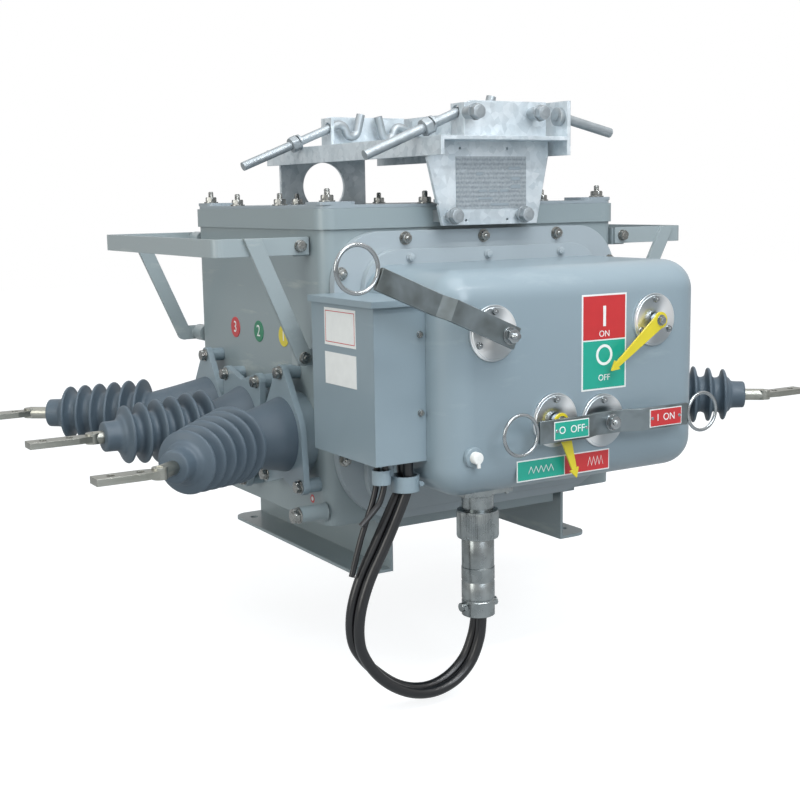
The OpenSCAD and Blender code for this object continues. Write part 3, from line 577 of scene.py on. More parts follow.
# Zinc-plated steel, barrel plated: a cool grey metal whose gloss changes from
# bolt to bolt over some 8 mm, so that some look dark and some bright.
zinc_plated, tree, shader, spot = new_finish("zinc_plated_steel", 0.26, 1.0)
mottle = add(tree, "ShaderNodeTexNoise", {"Vector": spot, "Scale": 130.0, "Detail": 4.0})
add(tree, "ShaderNodeMix", {"Factor": mottle.outputs["Fac"], 6: colour("#6f706e"), 7: colour("#b7b8b5")},
    feeds=shader.inputs["Base Color"], data_type="RGBA")
add(tree, "ShaderNodeMapRange", {"Value": mottle.outputs["Fac"], "To Min": 0.16, "To Max": 0.38},
    feeds=shader.inputs["Roughness"])
print(zinc_plated.name)

# %% [markdown]
# ## Bolts of the lid and of the front
# Studs with nuts hold the lid, in its corners and along its sides. Bolts hold
# the front plate on, and small screws that were painted over hold the drive
# box's flange. Each row is a list of spots in millimetres, because a real
# drawing gives them as such a table; an Array modifier needs equal steps.

# %% Bolts of the lid and of the front
half_x, half_y = 272, 230
lid_top, ear_top = 558, 563
from_corner, from_edge = 20, 18
spots = []
for sx in (-1, 1):
    spots += [(sx * (half_x - from_corner), sy * (half_y - from_corner), ear_top) for sy in (-1, 1)]
    spots += [(sx * (half_x - from_edge), y, lid_top) for y in (-60, 97)]
spots += [(x, sy * (half_y - from_edge), lid_top) for sy in (-1, 1) for x in (-85, 85)]
make_piece("lid_studs", bolts(spots, Z, 17, 8, 12, 2, 10), zinc_plated, stands_for=("lid_bolts",))

plate_y, flange_y = -244, -256
spots = [(x, plate_y, 508) for x in (-141, 0, 141)] + [(x, plate_y, z) for x in (-251, 251) for z in (187, 460)]
make_piece("front_plate_screws", bolts(spots, FRONT, 14, 6.5, 10, 1.6, 4.5), zinc_plated,
           stands_for=("front_plate_bolts",))
# The painted-over screws wear the plate's lightened enamel, so they carry the same painted light.
spots = [(x, flange_y, 480) for x in (-140, 0, 140)]
make_piece("drive_flange_screws", bolts(spots, FRONT, 10, 5, 7, 1.5), plate_enamel_painted_lighter,
           stands_for=("drive_box_bolts",))

# %% [markdown]
# ## Bolts of the handles and bushings
# Each lifting handle is held by two bolts in front and two behind, and the
# right handle's near arm lies further forward than the left one's. Three bolts
# hold each bushing's flange. Their heads are turned by different angles, since
# nobody lines up hexagons when tightening them.

# %% Bolts of the handles and bushings
arm_z, strut_z = 500, 337
shapes = []
for sx, near_arm in ((-1, -192), (1, -232)):
    spots = [(sx * (half_x + 17), near_arm, arm_z), (sx * (half_x + 17), near_arm - 6, strut_z)]
    shapes += bolts(spots, FRONT, 15, 6, 9, 2)
    shapes += bolts([(sx * (half_x - 12), 270, z) for z in (arm_z, strut_z)], Y, 17, 7, 11, 2)
make_piece("handle_screws", shapes, zinc_plated, stands_for=("handle_bolts",))

flange_face, bush_height, bush_pitch = 303, 216, 141
one_up, one_down = [(0, 94), (-58, -71), (58, -71)], [(-58, 71), (58, 71), (0, -94)]
shapes = []
for sx in (-1, 1):
    for row, lobes in ((-1, one_up), (0, one_down), (1, one_up)):
        for y, z in lobes:
            place = mm(sx * flange_face, row * bush_pitch + y, bush_height + z)
            shapes += bolt(place, (sx, 0, 0), 16, 7, 10.5, 2, 0, 0.2 * y)
make_piece("bushing_screws", shapes, zinc_plated, stands_for=("bushing_bolts",))

# %% [markdown]
# ## Earthing boss
# A thick round boss is welded to the tank's left side for the earth strap,
# with a bolt in its end. It is one lathe profile with a weld fillet at its
# root, painted with the tank, and the bolt is left bare for the contact. Two
# small screws close the terminal box's cover beside it.

# %% Earthing boss and terminal box screws
earth = mm(-half_x, -217, 107)
boss_length = 43.5
boss = lathe(pairs(0, 14, 1, 12.6, 3, 12, 43, 12, boss_length, 11.5), earth, LEFT, 40)
make_piece("earthing_boss", [boss], tank_enamel, stands_for=("earth_terminal",))
boss_face = earth + mm(-boss_length, 0, 0)
make_piece("earthing_bolt", bolt(boss_face, LEFT, 21, 9, 12.5, 2.4), zinc_plated)
make_piece("terminal_box_screws", bolts([(-228, -418, z) for z in (278, 385)], FRONT, 7, 3, 4.8, 1),
           zinc_plated)

# %% [markdown]
# ## Silicone rubber
# The bushings are moulded in dark blue-grey silicone rubber, which is matt,
# has a faint bloom and holds dust. Two noises of different size do that: one
# of about 45 mm for the bloom and one of about 140 mm for where dust settled.

# %% Silicone rubber
# Moulded silicone rubber: a dull, soft-looking skin with low specular, and
# pores of about 2 mm, drawn coarse.
silicone, tree, shader, spot = new_finish("moulded_silicone_rubber", 0.46, Specular_IOR_Level=0.42)
bloom = add(tree, "ShaderNodeTexNoise", {"Vector": spot, "Scale": 22.0, "Detail": 5.0, "Roughness": 0.62})
tone = add(tree, "ShaderNodeMix", {"Factor": bloom.outputs["Fac"], 6: colour("#485661"), 7: colour("#56636d")},
           data_type="RGBA")
dust = add(tree, "ShaderNodeTexNoise", {"Vector": spot, "Scale": 7.0, "Detail": 6.0, "Roughness": 0.7})
dusty = add(tree, "ShaderNodeMapRange",
            {"Value": dust.outputs["Fac"], "From Min": 0.56, "From Max": 0.78, "To Max": 0.35})
add(tree, "ShaderNodeMix", {"Factor": dusty.outputs[0], 6: tone.outputs[2], 7: colour("#747c81")},
    feeds=shader.inputs["Base Color"], data_type="RGBA")
add(tree, "ShaderNodeMapRange", {"Value": bloom.outputs["Fac"], "To Min": 0.38, "To Max": 0.56},
    feeds=shader.inputs["Roughness"])
pores = add(tree, "ShaderNodeTexNoise", {"Vector": spot, "Scale": 420.0, "Detail": 2.0})
add(tree, "ShaderNodeBump", {"Height": pores.outputs["Fac"], "Strength": 0.08, "Distance": 0.0005},
    feeds=shader.inputs["Normal"])
print(silicone.name)

# %% [markdown]
# ## Sheds
# A bushing's sheds are thin rubber lips that keep rain from joining into one
# wet path. Six of them stand on a thin core and grow smaller towards the nose.
# Sharp rings with a Bevel would look machined. Moulded rubber has no sharp
# corner, so the profile is a row of points with a smooth curve through them.

# %% Shed profile
nose_x, nose_y, middle_nose_x = 532, 279, 534
shed_part = 180
cone_root, cone_end = 57, 36


def shed_profile():
    """(distance past the cone, radius) down to the nose: six thin lips joined by hollow fillets."""
    points = [(0, cone_end), (3, 35.4)]
    for step in range(5, -1, -1):
        centre = shed_part - 36 - step * 25.4
        lip = 44.5 + 2.5 * step
        core = 29 + step
        points += [(centre - 10.5, core + 1.5), (centre - 7, core + 4), (centre - 4.2, lip - 6),
                   (centre - 3.2, lip - 1.6), (centre - 1.4, lip), (centre + 0.8, lip - 0.5),
                   (centre + 2.8, lip - 4), (centre + 6.0, core + 3), (centre + 9.5, core)]
    points += [(shed_part - 23, 24.5), (shed_part - 18, 23.4), (shed_part - 4, 23), (shed_part - 1, 22),
               (shed_part, 20)]
    return through(points, 3)


print("shed profile of", len(shed_profile()), "points")

# %% [markdown]
# ## Bushings
# Each bushing is one moulding: a cone that starts as a flat circle on its
# flange and leans out, then the sheds, then a short round nose. A cone and six
# discs put together would show joints. Here the rings turn smoothly from the
# flange's plane to the plane across the leaning axis, so the cone and the
# sheds are one surface.

# %% Bushings
def bushing(side, row):
    """Ring centres run straight from the flange to the cone's end, and ring planes turn smoothly on the way."""
    lean = math.radians(38) * abs(row)
    out = np.array([side * math.cos(lean), row * math.sin(lean), 0.0])
    nose = mm(side * (nose_x if row else middle_nose_x), row * nose_y, bush_height)
    start = nose - shed_part * MM * out
    base = mm(side * flange_face, row * bush_pitch, bush_height)
    v = np.linspace(0, 1, 13)
    centres = base + v[:, None] * (start - base)
    radii = (cone_root - (cone_root - cone_end) * v ** 0.94) * MM
    turns = lean * (v * v * (3 - 2 * v))
    profile = shed_profile() * MM
    centres = np.vstack([centres, start + profile[1:, :1] * out])
    radii = np.concatenate([radii, profile[1:, 1]])
    turns = np.concatenate([turns, np.full(len(profile) - 1, lean)])
    across = np.column_stack([-side * np.sin(turns), (row or 1) * np.cos(turns), 0 * turns])
    t = np.linspace(0, 2 * np.pi, 72, endpoint=False)[None, :, None]
    rim = np.cos(t) * across[:, None] + np.sin(t) * np.array([0, 0, 1.0])
    return skin(centres[:, None] + radii[:, None, None] * rim)


for side, side_name in ((-1, "left"), (1, "right")):
    for row, row_name in ((-1, "front"), (0, "middle"), (1, "rear")):
        name = f"bushing_{side_name}_{row_name}"
        make_piece(name + "_rubber", [bushing(side, row)], silicone, stands_for=(name,), sharp=70)

# %% [markdown]
# ## Terminals
# The bars are copper that was dipped in tin and has gone dull: a grey-green
# metal with rubbed, slightly brighter faces. The CAD bars have the right shape
# and their holes, so they only get this finish.

# %% Tinned bars
# Tinned copper, drawn and dipped: fine lines along the bar, about 8 mm apart
# and 70 mm long, drawn coarse, and edges that the dip has rounded by 1 mm.
tinned, tree, shader, spot = new_finish("dull_tinned_copper", 0.34, 1.0)
drawn = add(tree, "ShaderNodeMapping", {"Vector": spot, "Scale": (14.0, 120.0, 120.0)})
lines = add(tree, "ShaderNodeTexNoise", {"Vector": drawn.outputs[0], "Scale": 1.0, "Detail": 5.0})
add(tree, "ShaderNodeMix", {"Factor": lines.outputs["Fac"], 6: colour("#84857c"), 7: colour("#bdbdb6")},
    feeds=shader.inputs["Base Color"], data_type="RGBA")
edge = add(tree, "ShaderNodeBevel", {"Radius": 0.001}, samples=4)
add(tree, "ShaderNodeBump",
    {"Height": lines.outputs["Fac"], "Strength": 0.12, "Distance": 0.0006, "Normal": edge.outputs[0]},
    feeds=shader.inputs["Normal"])
dress(tinned, "terminals_left", "terminals_right")

# %% [markdown]
# ## Turned stainless steel
# Each shaft comes out through a turned stainless disc. Turning leaves fine
# rings that stretch a highlight into two bright fans. An anisotropic shader
# gives that when its tangent runs round the disc, which needs a UV map of the
# angle. The fans are also a painted highlight: a sine of twice that angle lightens
# the base colour in two opposite fans, since soft light alone would hardly show them.

# %% Turned stainless steel
# Turned stainless: bright, with cut rings about a millimetre apart.
turned_steel, tree, shader, spot = new_finish("turned_stainless_steel", 0.30, 1.0, Anisotropic=0.75)
add(tree, "ShaderNodeTangent", feeds=shader.inputs["Tangent"], direction_type="UV_MAP", uv_map="turn")
place = add(tree, "ShaderNodeUVMap", uv_map="turn")
angle = add(tree, "ShaderNodeSeparateXYZ", {"Vector": place.outputs[0]})
# Painted highlight: the base colour is lighter in two opposite fans, set by the angle round the disc.
doubled = add(tree, "ShaderNodeMath", {0: angle.outputs["X"], 1: 4 * math.pi, 2: 0.9}, operation="MULTIPLY_ADD")
painted_fan_highlight = add(tree, "ShaderNodeMath", {0: doubled.outputs[0]}, operation="SINE")
painted_fan_highlight = add(tree, "ShaderNodeMapRange", {"Value": painted_fan_highlight.outputs[0], "From Min": -0.9, "From Max": 0.95},
          interpolation_type="SMOOTHSTEP")
add(tree, "ShaderNodeMix", {"Factor": painted_fan_highlight.outputs[0], 6: colour("#b2b9bd"), 7: colour("#fafbfb")},
    feeds=shader.inputs["Base Color"], data_type="RGBA")
rings_only = add(tree, "ShaderNodeMapping", {"Vector": place.outputs[0], "Scale": (0.6, 90.0, 1.0)})
cut = add(tree, "ShaderNodeTexNoise", {"Vector": rings_only.outputs[0], "Scale": 1.0, "Detail": 3.0})
add(tree, "ShaderNodeBump", {"Height": cut.outputs["Fac"], "Strength": 0.10, "Distance": 0.0004},
    feeds=shader.inputs["Normal"])
print(turned_steel.name)

# %% [markdown]
# ## Drawn and handled stainless steel
# The rings and nuts are bright drawn rod. The levers are flat bar that hands
# have dulled in smears, so colour and roughness change together: where the
# metal is darker it is also duller. Drawing lines along the bar are a bump.

# %% Drawn and handled stainless steel
# Bright drawn stainless: mirror-like, with a haze over some 30 mm.
polished_steel, tree, shader, spot = new_finish("bright_drawn_stainless_rod", 0.20, 1.0)
haze = add(tree, "ShaderNodeTexNoise", {"Vector": spot, "Scale": 30.0, "Detail": 2.0})
add(tree, "ShaderNodeMix", {"Factor": haze.outputs["Fac"], 6: colour("#868c90"), 7: colour("#bcc0c1")},
    feeds=shader.inputs["Base Color"], data_type="RGBA")

# Handled stainless flat bar: smears some 60 mm across and drawing lines of 3 mm.
worn_steel, tree, shader, spot = new_finish("handled_stainless_flat", 0.32, 1.0)
smear = add(tree, "ShaderNodeTexNoise",
            {"Vector": spot, "Scale": 17.0, "Detail": 3.0, "Roughness": 0.5, "Distortion": 0.3})
dark = add(tree, "ShaderNodeMapRange", {"Value": smear.outputs["Fac"], "From Min": 0.36, "From Max": 0.66})
add(tree, "ShaderNodeMix", {"Factor": dark.outputs[0], 6: colour("#8f999d"), 7: colour("#5b605e")},
    feeds=shader.inputs["Base Color"], data_type="RGBA")
add(tree, "ShaderNodeMapRange", {"Value": smear.outputs["Fac"], "To Min": 0.26, "To Max": 0.52},
    feeds=shader.inputs["Roughness"])
drawn = add(tree, "ShaderNodeMapping", {"Vector": spot, "Scale": (30.0, 300.0, 420.0)})
lines = add(tree, "ShaderNodeTexNoise", {"Vector": drawn.outputs[0], "Scale": 1.0, "Detail": 3.0})
add(tree, "ShaderNodeBump", {"Height": lines.outputs["Fac"], "Strength": 0.12, "Distance": 0.0004},
    feeds=shader.inputs["Normal"])
print(polished_steel.name, worn_steel.name)

# %% [markdown]
# ## Shaft discs
# Each disc has a thin step round its rim and three small screws. The lathe
# gives its shape, and a UV map with the angle as u and the distance from the
# shaft as v tells the shader which way the tool ran. Blender's unwrap would
# not keep the angle straight, so the map is worked out from the corners.

# %% Shaft discs
shafts = [(-144, 385), (143, 386), (-39, 256), (47, 247)]
box_front = -468
disc_step = 6
disc_profile = pairs(0, 38.5, 3.6, 38.5, 4.4, 37.7, 4.5, 35.8, 5.6, 35.4, disc_step, 34.8,
                     6.1, 14, 5.8, 13, 5.8, 8.4)


def add_turn_map(piece, centre_x, centre_z):
    """u is the angle round the disc in turns, v ten times the distance from its axis in metres, per corner."""
    mesh = piece.data
    corner = np.empty(len(mesh.loops), int)
    mesh.loops.foreach_get("vertex_index", corner)
    spots = np.empty(len(mesh.vertices) * 3)
    mesh.vertices.foreach_get("co", spots)
    spots = spots.reshape(-1, 3)[corner]
    x, z = spots[:, 0] - centre_x, spots[:, 2] - centre_z
    face_start = np.empty(len(mesh.polygons), int)
    mesh.polygons.foreach_get("loop_start", face_start)
    size = np.empty(len(mesh.polygons), int)
    mesh.polygons.foreach_get("loop_total", size)
    turn = np.arctan2(z, x) / (2 * np.pi)
    first = np.repeat(turn[face_start], size)
    turn = first + (turn - first + 0.5) % 1.0 - 0.5
    layer = mesh.uv_layers.new(name="turn")
    layer.data.foreach_set("uv", np.column_stack([turn, np.hypot(x, z) * 10]).ravel())


for number, (x, z) in enumerate(shafts):
    disc = lathe(disc_profile, mm(x, box_front, z), FRONT, 96)
    piece = make_piece(f"shaft_disc_{number + 1}", [disc], turned_steel,
                       stands_for=("shaft_discs",) if number == 0 else (), sharp=30)
    add_turn_map(piece, x * MM, z * MM)
screw_circle = 29.5
spots = [(x + screw_circle * math.cos(a), box_front - disc_step, z + screw_circle * math.sin(a))
         for x, z in shafts for a in np.radians([90, 210, 330])]
make_piece("disc_screws", bolts(spots, FRONT, 7.5, 3, 5, 0.8, 1.5), polished_steel)

# %% [markdown]
# ## Charging lever
# A long lever on the upper left shaft winds the spring. It is bent from flat
# bar, so its side view is pushed through its width, and a Bevel modifier
# breaks the edges. The lever leans, so the outline is laid on leaning
# directions. Turning the object instead would be lost, since every piece sits
# unturned at the origin.

# %% Charging lever
disc_front = box_front - disc_step
lever_y = disc_front - 28
charge_x, charge_z = shafts[0]
lean = math.radians(23.5)
lever_x_way = np.array([math.cos(lean), 0, -math.sin(lean)])
lever_z_way = np.array([math.sin(lean), 0, math.cos(lean)])
lever_length, lever_width = 208, 30
pivot = mm(charge_x, lever_y, charge_z)
side_view = pairs(13, 0, 13, -7, -96, -7, -112, 6, -lever_length, 6, -lever_length, 13, -115, 13, -99, 0)
bar = extruded(side_view, pivot - 15 * MM * lever_z_way, lever_x_way, Y, lever_width * MM * lever_z_way)
shaft = lathe(pairs(0, 7.9, 45, 7.9), mm(charge_x, box_front + 20, charge_z), FRONT, 32)
make_piece("charging_lever_bar", [bar, shaft], worn_steel, "charging_lever", ("charge_lever",),
           bevel=0.7 * MM)
nut = bolt(pivot + mm(0, -7, 0), FRONT, 18, 8, 12, 1.8, 10)
nut.append(washer(pivot + mm(0, 5, 0), FRONT, 12 * MM, 5 * MM))
make_piece("charging_lever_nut", nut, polished_steel, "charging_lever")

# %% [markdown]
# ## Hand lever
# A lever with two arms switches the breaker on or off by hand. It dips towards
# the box in its middle, where its nut sits. A bar could be bent with Simple
# Deform, but each of its bends is sharp and short, so its plan is drawn as an
# outline and pushed upwards through the width of the bar.

# %% Hand lever
hand_y = disc_front - 12
hand_x, hand_z = shafts[3]
plan = pairs(-136, -16, -51, -16, -28, -6, 20, -6, 45, -16, 136, -16,
             136, -11, 46, -11, 21, 0, -29, 0, -52, -11, -136, -11)
bar = extruded(plan, mm(hand_x, hand_y, hand_z - 16), X, Y, mm(0, 0, 32))
shaft = lathe(pairs(0, 7.9, 33, 7.9), mm(hand_x, box_front + 20, hand_z), FRONT, 32)
make_piece("hand_lever_bar", [bar, shaft], worn_steel, "hand_lever_set", ("hand_lever",),
           bevel=0.6 * MM)
make_piece("hand_lever_nut", bolt(mm(hand_x, hand_y - 6, hand_z), FRONT, 18, 7, 12, 1.8, 6), polished_steel,
           "hand_lever_set")

# %% [markdown]
# ## Pull rings
# An operator hooks a long pole into these rings. Each is round rod bent to a
# circle: a small circle carried round a big one. Blender has a torus, but the
# same arrays as above give it without a jump into edit mode.

# %% Pull rings
def ring_of_rod(centre, radius, rod):
    """centre + (R + r cos s)(cos t x + sin t z) + r sin s y, with the last row of s joined to the first."""
    s, t = np.linspace(0, 2 * np.pi, 17)[:, None], np.linspace(0, 2 * np.pi, 72, endpoint=False)[None]
    reach = radius + rod * np.cos(s)
    rings = np.stack([reach * np.cos(t), rod * np.sin(s) + 0 * t, reach * np.sin(t)], axis=-1)
    points, faces = skin(rings, caps=False)
    return np.array(centre) + points[:16 * 72], (np.array(faces) % (16 * 72)).tolist()


charge_ring = 30
centre = pivot - (lever_length + charge_ring + 2.7) * MM * lever_x_way + mm(0, 9.5, 0)
make_piece("charging_pull_ring", [ring_of_rod(centre, charge_ring * MM, 2.9 * MM)], polished_steel,
           "charging_lever", ("charge_ring",))
pull_rings = [ring_of_rod(mm(hand_x + way * 166.5, hand_y - 13.5, hand_z), 28 * MM, 2.5 * MM)
              for way in (-1, 1)]
make_piece("hand_pull_rings", pull_rings, polished_steel, "hand_lever_set", ("hand_rings",))

# %% [markdown]
# ## Printed enamel
# Signs, discs and pointers have strong even colours. Print is never quite
# even, though: the same noise of about 17 mm darkens it a little and changes
# its gloss, which keeps a large plate from looking like a hole in the cover.

# %% Enamels of the signs
def flat_colour(name, code, roughness):
    """One colour mixed with a darker self by a noise, which also makes the gloss a little uneven."""
    material, tree, shader, spot = new_finish(name, roughness, Coat_Weight=0.3, Coat_Roughness=0.12)
    print_grain = add(tree, "ShaderNodeTexNoise", {"Vector": spot, "Scale": 60.0, "Detail": 4.0})
    dim = tuple(0.86 * v for v in colour(code)[:3]) + (1.0,)
    add(tree, "ShaderNodeMix", {"Factor": print_grain.outputs["Fac"], 6: dim, 7: colour(code)},
        feeds=shader.inputs["Base Color"], data_type="RGBA")
    add(tree, "ShaderNodeMapRange",
        {"Value": print_grain.outputs["Fac"], "To Min": roughness - 0.05, "To Max": roughness + 0.08},
        feeds=shader.inputs["Roughness"])
    return material


# Screen-printed enamel on sheet: saturated and fairly glossy. The phase discs' green is deeper.
red_enamel = flat_colour("red_printed_enamel", "#c62a2e", 0.34)
green_enamel = flat_colour("green_printed_enamel", "#12a38c", 0.34)
deep_green = flat_colour("deep_green_printed_enamel", "#0e7a55", 0.38)
white_enamel = flat_colour("white_printed_enamel", "#eef0ee", 0.38)
# Sprayed enamel on the pointers: as even as the print, a touch glossier.
yellow_enamel = flat_colour("yellow_sprayed_enamel", "#dccb2c", 0.36)
print(red_enamel.name, green_enamel.name, deep_green.name, white_enamel.name, yellow_enamel.name)

# %% [markdown]
# ## Thin plates and marks
# A sign's fields and marks are layers of print on sheet. An image texture
# would blur up close and would not export as a shape. So each one is a thin
# solid, and letters in the built-in font are turned into a mesh as well.

# %% Plates and marks
def plate(x0, x1, z0, z1, y, thick):
    """A thin box that faces the front, from y outwards by its thickness."""
    return extruded([(x0, z0), (x1, z0), (x1, z1), (x0, z1)], mm(0, y, 0), mm(*X), mm(*Z), mm(0, -thick, 0))


def lettering(words, centre, height, one=X, other=Z, depth=(0, -0.0003, 0)):
    """Generic marks in the built-in font, turned into a mesh and laid on the plane of one and other."""
    curve = bpy.data.curves.new("mark", "FONT")
    curve.body = words
    curve.align_x = "CENTER"
    curve.align_y = "CENTER"
    curve.extrude = 0.5
    holder = bpy.data.objects.new("mark", curve)
    scene.collection.objects.link(holder)
    mesh = bpy.data.meshes.new_from_object(holder)
    flat = np.empty(len(mesh.vertices) * 3)
    mesh.vertices.foreach_get("co", flat)
    flat = flat.reshape(-1, 3)
    faces = [list(face.vertices) for face in mesh.polygons]
    bpy.data.objects.remove(holder)
    bpy.data.meshes.remove(mesh)
    bpy.data.curves.remove(curve)
    one, other, depth = np.array([one, other, depth], float)
    points = np.array(centre) + height * (flat[:, :1] * one + flat[:, 1:2] * other)
    return points + (flat[:, 2:] + 0.5) * depth, faces


def mark_circle(centre, radius, width, y):
    """A flat ring, the sign for off: outer and inner circle joined front and back."""
    t = np.linspace(0, 2 * np.pi, 48, endpoint=False)
    way = np.stack([np.cos(t), 0 * t, np.sin(t)], axis=-1)
    middle = mm(centre[0], y, centre[1])
    outer, inner = middle + radius * MM * way, middle + (radius - width) * MM * way
    front = mm(0, -0.3, 0)
    points, faces = skin(np.stack([outer, outer + front, inner + front, inner, outer]), caps=False)
    return points[:4 * 48], (np.array(faces) % (4 * 48)).tolist()


print("plates and marks ready")

# %% [markdown]
# ## Position sign
# A white plate carries a red and a green field that stop short of its rim,
# with plain marks for on and off. Each layer lies a fraction of a millimetre
# in front of the one below, because two faces in one plane would flicker.

# %% Position sign
field_y, mark_y = box_front - 0.4, box_front - 0.8
shapes = [plate(10, 92, 291, 428, box_front, 0.5), plate(48.5, 53.5, 382, 411, mark_y, 0.3),
          mark_circle((51, 341), 15, 4, mark_y),
          lettering("ON", mm(51, mark_y, 371), 0.0125), lettering("OFF", mm(51, mark_y, 308), 0.0125)]
make_piece("position_plate_rim_and_marks", shapes, white_enamel, stands_for=("position_label",))
make_piece("position_field_on", [plate(12.5, 89.5, 363.5, 425.5, field_y, 0.4)], red_enamel)
make_piece("position_field_off", [plate(12.5, 89.5, 293.5, 361.5, field_y, 0.4)], green_enamel)

# %% [markdown]
# ## Spring sign
# The lower sign says whether the spring is wound: a wide flat zigzag for a
# spring at rest and a narrow tall one for a wound spring. Drawings use a
# zigzag for any coil spring, and a band of even height draws it simply.

# %% Spring sign
def spring_sign(x, z, width, height, turns, y):
    """A zigzag line of even width: z = height * triangle wave of x, the generic sign for a coil spring."""
    u = np.linspace(0, 1, 2 * turns + 1)
    zig = np.where(np.arange(2 * turns + 1) % 2, 1.0, -1.0)
    line = np.column_stack([x + width * (u - 0.5), z + 0.5 * height * zig])
    band = np.concatenate([line + [0, 0.9], line[::-1] - [0, 0.9]])
    return extruded(band, mm(0, y, 0), mm(*X), mm(*Z), mm(0, -0.3, 0))


shapes = [plate(-104, 62, 174, 204, box_front, 0.5), spring_sign(-62, 189, 44, 9, 5, mark_y),
          spring_sign(36, 189, 28, 12, 4, mark_y)]
make_piece("energy_plate_rim_and_signs", shapes, white_enamel, stands_for=("energy_label",))
make_piece("energy_field_free", [plate(-102.3, -21, 175.7, 202.3, field_y, 0.4)], green_enamel)
make_piece("energy_field_wound", [plate(-19.3, 60.3, 175.7, 202.3, field_y, 0.4)], red_enamel)

# %% [markdown]
# ## Plates on the hand lever
# Each arm of the hand lever carries a small riveted plate that says what
# pulling it does. They ride on the lever's body, so that they turn with it.

# %% Plates on the hand lever
arm_face = hand_y - 16
for way, words, finish, node, slot_name in ((92, "I  ON", red_enamel, "lever_plate_on", "red_paint"),
                                            (-82, "O  OFF", green_enamel, "lever_plate_off", "green_paint")):
    x, z = hand_x + way, hand_z
    field = [plate(x - 29.3, x + 29.3, z - 11.8, z + 11.8, arm_face - 0.9, 0.4)]
    make_piece(node + "_field", field, finish, "hand_lever_set", (node,))
    rim = [plate(x - 30.5, x + 30.5, z - 13, z + 13, arm_face, 1.0),
           lettering(words, mm(x, arm_face - 1.3, z), 0.0145)]
    make_piece(node + "_rim", rim, white_enamel, "hand_lever_set")
    rivets = [lathe(pairs(0, 2.6, 0.5, 2.5, 1.0, 1.6, 1.2, 0.3), mm(x + d, arm_face - 1.2, z), FRONT, 16)
              for d in (-26, 26)]
    make_piece(node + "_rivets", rivets, polished_steel, "hand_lever_set")

# %% [markdown]
# ## Pointers
# Two yellow pointers turn with their shafts and show where the contacts and
# the spring stand. A pointer is cut from sheet: a round hub, a narrow blade
# and an arrowhead, as one flat outline with a small Bevel. Its spindle is a
# separate piece on the same body, because it is bare steel.

# %% Pointers
def pointer(shaft_spot, length, degrees):
    """A round hub, a blade that narrows towards the tip, and a small arrowhead, as one outline."""
    hub = np.radians(np.linspace(62, 298, 24))
    neck = length - 14
    outline = np.concatenate([12 * np.column_stack([np.cos(hub), np.sin(hub)]),
                              [[neck, -4], [neck, -8], [length, 0], [neck, 8], [neck, 4]]])
    a = math.radians(degrees)
    along, across = mm(math.cos(a), 0, math.sin(a)), mm(-math.sin(a), 0, math.cos(a))
    return extruded(outline, mm(shaft_spot[0], disc_front - 9, shaft_spot[1]), along, across, mm(0, -3, 0))


stub = pairs(0, 7.9, 28, 7.9, 28.01, 10.8, 35, 10.8)
for body, node, shaft, length, degrees in (("position_flag", "position_pointer", shafts[1], 114, 215.8),
                                           ("energy_flag", "energy_pointer", shafts[2], 88, -71.8)):
    x, z = shaft
    make_piece(node + "_blade", [pointer(shaft, length, degrees)], yellow_enamel, body, (node,),
               bevel=0.3 * MM)
    spindle = [lathe(stub, mm(x, box_front + 20, z), FRONT, 32)]
    spindle += bolt(mm(x, disc_front - 12, z), FRONT, 11, 4, 8, 0.9)
    make_piece(node + "_spindle", spindle, polished_steel, body)

# %% [markdown]
# ## Phase discs
# Coloured discs on both sides of the tank tell the three phases apart. They
# carry plain numbers, which are turned to face left or right by laying the
# letters on other directions.

# %% Phase discs
for side, side_name in ((-1, "left"), (1, "right")):
    for y, finish, number in ((81, red_enamel, "3"), (-8, deep_green, "2"), (-97, yellow_enamel, "1")):
        disc = lathe(pairs(0, 17, 0.6, 17, 1.0, 16.6), mm(side * half_x, y, 360), (side, 0, 0), 48)
        stands = ("phase_discs",) if (side, number) == (-1, "3") else ()
        make_piece(f"phase_disc_{number}_{side_name}", [disc], finish, stands_for=stands)
        mark = lettering(number, mm(side * (half_x + 1.0), y, 360), 0.026,
                         (0, side, 0), Z, (side * 0.0003, 0, 0))
        make_piece(f"phase_mark_{number}_{side_name}", [mark], white_enamel)

# %% [markdown]
# ## Stickers
# Two bare stickers are on the terminal box, one with a thin red border, and a
# small round one marks the earthing boss. They are a few tenths of a
# millimetre thick, so that they catch the light at their edges as paper does.

# %% Stickers
def side_plate(x, y0, y1, z0, z1, thick):
    """A thin box that faces left, from x outwards."""
    return extruded([(y0, z0), (y1, z0), (y1, z1), (y0, z1)], mm(x, 0, 0), mm(*Y), mm(*Z), mm(-thick, 0, 0))


box_side, sticker = -300, 0.5
stickers = [side_plate(box_side, -371, -283, low, high, sticker) for low, high in ((366, 418), (311, 356))]
make_piece("terminal_box_stickers", stickers, white_enamel, stands_for=("box_labels",))
border = [side_plate(box_side - sticker, -368, -286, z, z + 1.0, 0.15) for z in (370, 413)]
border += [side_plate(box_side - sticker, y, y + 1.0, 370, 414, 0.15) for y in (-368, -287)]
make_piece("sticker_red_border", border, red_enamel)
earth_dot = mm(-half_x, -178, 119)
make_piece("earth_sticker", [lathe(pairs(0, 6.5, 0.3, 6.5), earth_dot, LEFT, 32)], red_enamel)
make_piece("earth_sticker_middle", [lathe(pairs(0.3, 3.2, 0.45, 3.2), earth_dot, LEFT, 32)], white_enamel)

# %% [markdown]
# ## Nickel plating
# The round connector is brass, nickel plated against weather. Nickel is a
# warmer, darker mirror than chromium, and handling clouds it. A clean mirror
# would look new, so a noise changes the tone and the gloss together.

